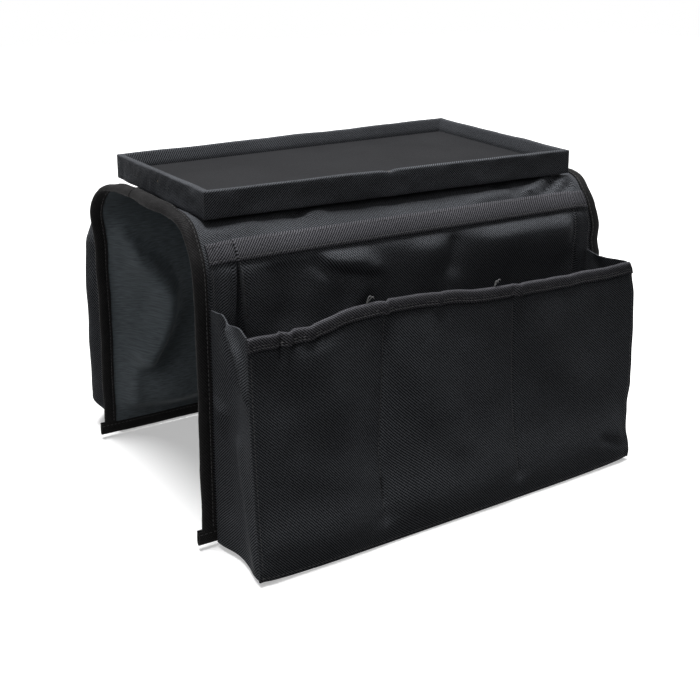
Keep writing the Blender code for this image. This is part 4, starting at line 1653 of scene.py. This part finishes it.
        plate = self.room.slab(name, marks(length), marks(width), pair, lambda x, y: (x, y), finish)
        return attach(plate, "deck")

    def make_board(self, name: str) -> None:
        """One of the tray's stiff boards, warped like its cloth."""
        low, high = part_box(f"tray_{name}")

        def pair(x: float, y: float) -> tuple[Vector, Vector]:
            """The board's upper and lower face."""
            return self.twisted(Vector((x, y, high.z))), self.twisted(Vector((x, y, low.z)))

        board = self.room.slab(
            f"tray_stiff_{name}",
            spaced(low.x, high.x, 0.03),
            spaced(low.y, high.y, 0.03),
            pair,
            lambda x, y: (x, y),
            self.room.finishes.board,
        )
        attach(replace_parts(board, f"tray_{name}"), "deck")

    def make_anchor(self, side: str, across: float) -> None:
        """One of the two tapes between the tray and the deck.

        Args:
            side: front or rear.
            across: Where its middle lies along Y.
        """
        (low, high), (reach, half) = self.anchor_heights, self.anchor_reach

        def pair(x: float, y: float) -> tuple[Vector, Vector]:
            """The tape's upper and lower face, with rounded long edges."""
            thin = 0.0003 * smooth(half - 0.0015, half, abs(y))
            upper = self.twisted(Vector((x, across + y, high - thin)))
            return upper, upper - Vector((0.0, 0.0, high - low - 2 * thin))

        tape = self.room.slab(
            f"tray_hold_down_tape_{side}",
            spaced(-reach, reach, 0.01),
            [half * share for share in (-1.0, -0.96, -0.9, -0.5, 0.0, 0.5, 0.9, 0.96, 1.0)],
            pair,
            lambda x, y: (x, y),
            self.room.finishes.webbing,
        )
        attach(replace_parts(tape, f"tray_anchor_tape_{side}"), "deck")


@dataclass
class ThreadEnds:
    """The short curled thread ends left on the front pocket's hem."""

    room: Workroom
    pocket: Pocket
    places: tuple[float, ...] = (-0.07, 0.032)
    radius: float = 0.0003

    def build(self) -> None:
        """Makes both curls as bevelled curves, turned into meshes."""
        for index, x in enumerate(self.places):
            base = self.pocket.surface(x, self.pocket.height, -0.0006)
            curve = bpy.data.curves.new(f"hem_thread_end_{index + 1}", "CURVE")
            curve.dimensions = "3D"
            curve.bevel_depth = self.radius
            curve.bevel_resolution = 2
            for turn in (0.0, 2.1):
                spline = curve.splines.new("POLY")
                points = [self._curl(base, step / 14, turn + index) for step in range(15)]
                spline.points.add(len(points) - 1)
                for point, place in zip(spline.points, points):
                    point.co = (*place, 1.0)
            rough = bpy.data.objects.new("thread_curve", curve)
            self.room.pieces.objects.link(rough)
            mesh = bpy.data.meshes.new_from_object(rough)
            bpy.data.objects.remove(rough)
            bm = bmesh.new()
            bm.from_mesh(mesh)
            piece = self.room.piece(curve.name, bm, self.room.finishes.loose_yarn)
            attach(piece, self.pocket.flank.pocket)

    @staticmethod
    def _curl(base: Vector, share: float, turn: float) -> Vector:
        """A point of the curl."""
        bow = math.sin(math.pi * share * 0.8)
        along = 0.0046 * share + 0.0016 * bow * math.cos(turn)
        return base + Vector((along, -0.0006 * bow, 0.0042 * bow + 0.0016 * share * math.sin(turn)))


# Studio


@dataclass(frozen=True)
class Lamp:
    """A soft square lamp that faces a point."""

    name: str
    place: Spot
    size: float
    power: float
    aim: Spot = (0.0, 0.0, 0.12)

    def build(self) -> None:
        """Makes the lamp."""
        light = bpy.data.lights.new(self.name, "AREA")
        light.shape = "SQUARE"
        light.size = self.size
        light.energy = self.power
        lamp = bpy.data.objects.new(self.name, light)
        bpy.context.scene.collection.objects.link(lamp)
        lamp.location = self.place
        facing = Vector(self.aim) - Vector(self.place)
        lamp.rotation_euler = facing.to_track_quat("-Z", "Y").to_euler()


@dataclass
class Studio:
    """The camera, the pale floor, the white surroundings and the lamps."""

    eye: Spot = (-0.3972, -0.6501, 0.3618)
    yaw: float = math.radians(31.57)
    pitch: float = math.radians(11.72)
    lens: float = 49.9
    shift: float = -0.2256
    ambient: float = 0.04
    floor_near: float = 0.07
    floor_far: float = 0.03
    floor_reach: Place = (0.38, 0.75)
    floor_glow: float = 0.38
    floor_level: float = -0.0031
    sun: float = 5.6
    sun_spread: float = math.radians(26)
    sun_from: Spot = (-0.03, 0.07, 1.0)
    lamps: tuple[Lamp, ...] = (
        Lamp("left_lamp", (-1.1, -1.0, 1.0), 1.0, 4.8), Lamp("front_lamp", (0.9, -1.4, 0.4), 1.0, 0.5)
    )

    def build(self) -> None:
        """Makes everything that isn't part of the object."""
        self.make_camera()
        self.make_floor()
        self.make_world()
        for lamp in self.lamps:
            lamp.build()
        light = bpy.data.lights.new("overhead_light", "SUN")
        light.energy, light.angle = self.sun, self.sun_spread
        above = bpy.data.objects.new("overhead_light", light)
        bpy.context.scene.collection.objects.link(above)
        above.rotation_euler = Vector(self.sun_from).to_track_quat("Z", "Y").to_euler()
        bpy.context.scene.view_settings.view_transform = "Standard"

    def make_camera(self) -> None:
        """The camera at the photograph's viewing angle."""
        data = bpy.data.cameras.new("photo_camera")
        data.sensor_width = 36.0
        data.lens = self.lens
        data.shift_y = self.shift
        data.clip_start = 0.01
        camera = bpy.data.objects.new("photo_camera", data)
        bpy.context.scene.collection.objects.link(camera)
        camera.location = self.eye
        level = math.cos(self.pitch)
        forward = Vector((math.sin(self.yaw) * level, math.cos(self.yaw) * level, -math.sin(self.pitch)))
        camera.rotation_euler = forward.to_track_quat("-Z", "Y").to_euler()
        bpy.context.scene.camera = camera

    def make_floor(self) -> None:
        """A wide pale floor that looks white and keeps the object's shadow."""
        bm = bmesh.new()
        bmesh.ops.create_grid(bm, x_segments=8, y_segments=8, size=6.0)
        bmesh.ops.translate(bm, vec=(0, 0, self.floor_level), verts=bm.verts[:])
        mesh = bpy.data.meshes.new("studio_floor")
        bm.to_mesh(mesh)
        bm.free()
        material = bpy.data.materials.new("pale_floor")
        material.use_nodes = True
        nodes = Nodes(material.node_tree)
        nodes.tree.nodes.clear()
        place = nodes.node("TexCoord").outputs["Object"]
        away = nodes.node("VectorMath", {0: place}, operation="LENGTH").outputs["Value"]
        near, far = self.floor_reach
        fade = {"Value": away, "From Min": near, "From Max": far}
        fade |= {"To Min": self.floor_near, "To Max": self.floor_far}
        colour = nodes.node("MapRange", fade).outputs["Result"]
        pale = nodes.node("BsdfDiffuse", {"Color": (0.75, 0.75, 0.75, 1)}).outputs[0]
        glow = nodes.node("Emission", {"Strength": self.floor_glow}).outputs[0]
        shown = nodes.node("AddShader", {0: pale, 1: glow})
        nodes.finish("OutputMaterial", nodes.node("BsdfDiffuse", {"Color": colour}), shown)
        mesh.materials.append(material)
        floor = bpy.data.objects.new("studio_floor", mesh)
        bpy.context.scene.collection.objects.link(floor)

    def make_world(self) -> None:
        """White surroundings, dimmer where they light the object."""
        world = bpy.data.worlds.new("white_room")
        world.use_nodes = True
        nodes = Nodes(world.node_tree)
        nodes.tree.nodes.clear()
        shades = [{"Color": (1, 1, 1, 1), "Strength": glow} for glow in (self.ambient, 1.0)]
        dim, white = [nodes.node("Background", shade) for shade in shades]
        nodes.finish("OutputWorld", dim, white)
        bpy.context.scene.world = world


# The object's own folds


def front_flank(centre: float) -> Flank:
    """The side that faces the camera."""
    return Flank(
        "front",
        -1,
        centre,
        0.069,
        left_pulls=in_mm((30, -3.8), (72, -0.3), (90, 0.8), (140, 1.6), (200, 1.8), (290, 1.8)),
        right_pulls=in_mm(
            (50, 0), (62, 3), (80, 1.5), (99, -1.5), (112, -0.5), (130, 3.2), (140, 2), (154, 5),
            (200, 4), (290, 0),
        ),
        curls=in_mm((0, 8.5), (30, 8.7), (52, 7.8), (69, 4.8), (80, 4.2), (102, 0)),
    )


def rear_flank(centre: float) -> Flank:
    """The far side."""
    return Flank(
        "rear",
        1,
        centre,
        0.045,
        flap_lean=math.radians(5),
        left_pulls=in_mm((30, -4.2), (80, -9.5), (120, -6), (200, -3.4), (280, -2)),
        curls=in_mm((0, 8.5), (24, 7.6), (50, 3.6), (85, 0)),
    )


def front_cover(room: Workroom, flank: Flank) -> Cover:
    """The front half of the saddle."""
    cloth = Relief(
        folds=(
            fold(3.4, 3.4, (138, 96.5), (150, 88), (160, 84)),
            fold(-3.4, 3.6, (128, 95.5), (140, 87)),
            fold(3.6, 4.6, (108, 95.5), (126, 88), (140, 80)),
            fold(-2.4, 2.8, (146, 97.5), (157, 93)),
            fold(2.6, 2.8, (156, 97.5), (164, 90)),
            fold(2.2, 5, (60, 95.5), (90, 92.5)),
            fold(-2.2, 3.4, (-94, 84), (-84, 80)),
            fold(1.8, 3.6, (-80, 86), (-72, 84)),
            fold(-2.2, 3.4, (86, 81), (96, 78)),
            fold(1.4, 5, (-155, 93), (-125, 88)),
        ),
        swells=((0.05, 0.0008), (0.016, 0.0003)),
        seed=1.0,
    )
    lining = Relief(
        folds=(
            fold(-4, 30, (-120, 200), (-20, 215), (100, 190)),
            fold(3, 9, (-100, 170), (-60, 220), (-70, 270)),
        ),
        swells=((0.07, 0.0025), (0.02, 0.0006)),
        seed=3.0,
    )
    return Cover(
        room,
        flank,
        cloth,
        lining,
        ("deck_panel", "front_flap_panel"),
        ("deck_lining", "front_flap_lining"),
        quiet_from=0.0985,
    )


def rear_cover(room: Workroom, flank: Flank) -> Cover:
    """The rear half of the saddle, whose lining shows through the open end."""
    lining = Relief(
        folds=(
            fold(-3, 30, (-100, 100), (0, 115), (100, 100)),
            fold(-5.5, 30, (-125, 150), (-50, 180), (80, 170)),
            fold(-5, 24, (-110, 200), (-105, 260)),
            fold(
                -18.5, 10.5, (-162, 112), (-153, 120), (-143, 130), (-134, 143), (-128, 157),
                (-127, 170), (-131, 185), (-138, 198), (-146, 209),
            ),
            fold(-6, 15, (-152, 140), (-144, 160), (-150, 188)),
            fold(-8, 9, (-133, 160), (-134, 174), (-139, 189), (-148, 204)),
            fold(-4, 6.5, (-158, 222), (-157, 250)),
            fold(-6, 20, (-140, 225), (-120, 262)),
            fold(-8, 32, (-170, 246), (100, 246)),
        ),
        swells=((0.06, 0.0016), (0.018, 0.0005)),
        seed=5.0,
    )
    return Cover(
        room,
        flank,
        Relief(swells=((0.06, 0.001), (0.018, 0.0003)), seed=2.0),
        lining,
        ("rear_flap_panel", "deck_panel"),
        ("rear_flap_lining", "deck_lining"),
    )


def front_sleeve(room: Workroom, flank: Flank) -> Sleeve:
    """The sleeve, with the dents of its loose cloth."""
    relief = Relief(
        folds=(
            fold(5.2, 10, (-78, 119.5), (-58, 123)),
            fold(-5, 5, (-90, 116), (-84, 124), (-67, 131.5), (-46, 137)),
            fold(-4, 15, (-112, 118), (-110, 150)),
            fold(4.6, 16, (2, 124)),
            fold(4.4, 17, (60, 122)),
            fold(-3.4, 6, (26.2, 112), (24, 138)),
            fold(4.6, 19, (82, 124), (128, 126)),
            fold(-3, 18, (88, 156), (128, 158)),
            fold(3.6, 7.5, (-45.3, 130), (-64.6, 160)),
        ),
        swells=((0.04, 0.001), (0.012, 0.0003)),
        seed=4.0,
    )
    return Sleeve(room, flank, relief=relief)


def front_pocket(room: Workroom, flank: Flank) -> Pocket:
    """The front pocket, whose hem bows in towards the flap."""
    relief = Relief(
        folds=(
            fold(3.4, 18, (-112, 134), (-104, 104)),
            fold(-2.6, 12, (-145, 130), (-138, 112)),
            fold(1.8, 20, (-30, 125), (-20, 80)),
            fold(2, 22, (90, 120), (110, 75)),
            fold(-1.6, 3, (134, 22.5), (156, 13)),
            fold(-1.4, 1.6, (-66.5, 40), (-66.8, 28)),
            fold(1.2, 12, (-125, 60), (-80, 45)),
            fold(1.4, 14, (0, 50), (30, 35)),
        ),
        swells=((0.05, 0.001), (0.02, 0.0004), (0.008, 0.00012)),
        seed=6.0,
    )
    kinks = Relief(
        folds=(
            fold(-3, 1.9, (-137.2, 158), (-138, 139)),
            fold(3, 1.9, (-133, 158), (-133.8, 147)),
            fold(-1.4, 2.4, (-126.5, 158), (-127, 150)),
            fold(1.6, 3, (-118, 158), (-118, 149)),
            fold(2.2, 3, (-56, 158), (-55.8, 146)),
            fold(-1.6, 2.2, (-51.5, 158), (-52, 149)),
            fold(2, 2.8, (-13.3, 158), (-13.3, 149)),
            fold(-1.6, 2, (49, 158), (48, 148)),
            fold(2, 2.4, (53.5, 158), (53.5, 149)),
            fold(1.2, 4, (100, 158), (101, 150)),
        ),
        swells=(),
    )
    left = Relief(
        folds=(
            fold(4.8, 4.5, (30, 152), (45, 137), (52.5, 118)),
            fold(-3.6, 6, (24, 146), (36, 122)),
            fold(3.2, 3.6, (1, 103), (10, 96)),
            fold(3, 7, (34, 80), (44, 40), (53, 12)),
            fold(-2.2, 8, (12, 85), (14, 30)),
        ),
        swells=((0.03, 0.0009), (0.011, 0.0003)),
        seed=7.0,
    )
    right = Relief(
        folds=(fold(1.6, 6, (20, 150), (36, 110)),), swells=((0.03, 0.0009), (0.011, 0.0003)), seed=8.0
    )
    return Pocket(
        room,
        flank,
        face=0.162,
        lean=0.012,
        hem_bow=0.0085,
        hem_rise=0.004,
        foot_out=0.0018,
        foot_drop=0.0028,
        relief=relief,
        kinks=kinks,
        gusset_reliefs={"left": left, "right": right},
        seams=(
            ((-0.0558, 0.147), (-0.0615, 0.094), (-0.0665, 0.06), (-0.0672, 0.018)),
            ((0.0505, 0.147), (0.0492, 0.091), (0.0495, 0.019)),
        ),
        ends_out={
            "left": STRAIGHT,
            "right": in_mm(
                (0, 3), (10, 2.5), (24, 0.5), (42, 2.2), (62, 6.6), (80, 8), (105, 9.7), (130, 9.8),
                (148, 6.8), (157, 3.8),
            ),
        },
        gusset_bulge={
            "left": in_mm((0, -4), (100, -4), (150, -0.5)), "right": in_mm((0, -4), (1000, -4))
        },
        gusset_tops={
            "left": ((0.0, 0.006), (0.3, 0.0068), (0.52, 0.0026), (0.8, 0.0032), (1.0, 0.0)),
            "right": ((0.0, 0.0), (0.4, -0.001), (1.0, 0.0)),
        },
    )


def rear_pocket(room: Workroom, flank: Flank) -> Pocket:
    """The rear pocket, which hangs a little slacker."""
    relief = Relief(
        folds=(
            fold(1.8, 16, (-110, 100), (-80, 50)),
            fold(1.6, 18, (20, 120), (50, 60)),
            fold(-1.4, 3, (130, 154), (125, 130)),
        ),
        swells=((0.05, 0.001), (0.02, 0.0004), (0.008, 0.00012)),
        seed=9.0,
    )
    side = Relief(swells=((0.03, 0.0009), (0.011, 0.0003)), seed=10.0)
    return Pocket(
        room,
        flank,
        face=0.157,
        lean=0.006,
        hem_bow=0.0,
        hem_rise=0.0,
        foot_out=0.0014,
        foot_drop=0.0,
        relief=relief,
        kinks=Relief(swells=()),
        ends_out={"left": STRAIGHT, "right": STRAIGHT},
        gusset_reliefs={"left": side, "right": side},
        seams=(((-0.0526, 0.147), (-0.0526, 0.02)), ((0.0526, 0.147), (0.0526, 0.02))),
        gusset_bulge={
            "left": in_mm((0, 0), (22, 15), (40, 15.8), (90, 16), (120, 16.8), (140, 15.3), (157, 10.2)),
            "right": in_mm((0, 0), (30, 4), (1000, 4)),
        },
        gusset_tops={
            "left": ((0.0, 0.012), (0.3, 0.022), (0.55, 0.021), (0.8, 0.009), (1.0, 0.0)),
            "right": ((0.0, 0.002), (0.4, -0.001), (1.0, 0.0)),
        },
    )


def main() -> None:
    """Builds the organizer's dressing, then the studio."""
    logging.basicConfig(level=logging.INFO, format="%(message)s")
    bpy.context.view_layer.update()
    low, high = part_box("tray_rim_cover")
    centre = (low.y + high.y) / 2
    front, rear = front_flank(centre), rear_flank(centre)
    studio, room = Studio(), Workroom()
    studio.build()
    Tray(room, centre).build()
    front_cover(room, front).build()
    rear_cover(room, rear).build()
    front_sleeve(room, front).build()
    pocket = front_pocket(room, front)
    pocket.build()
    rear_pocket(room, rear).build()
    ThreadEnds(room, pocket).build()


if __name__ == "__main__":
    main()
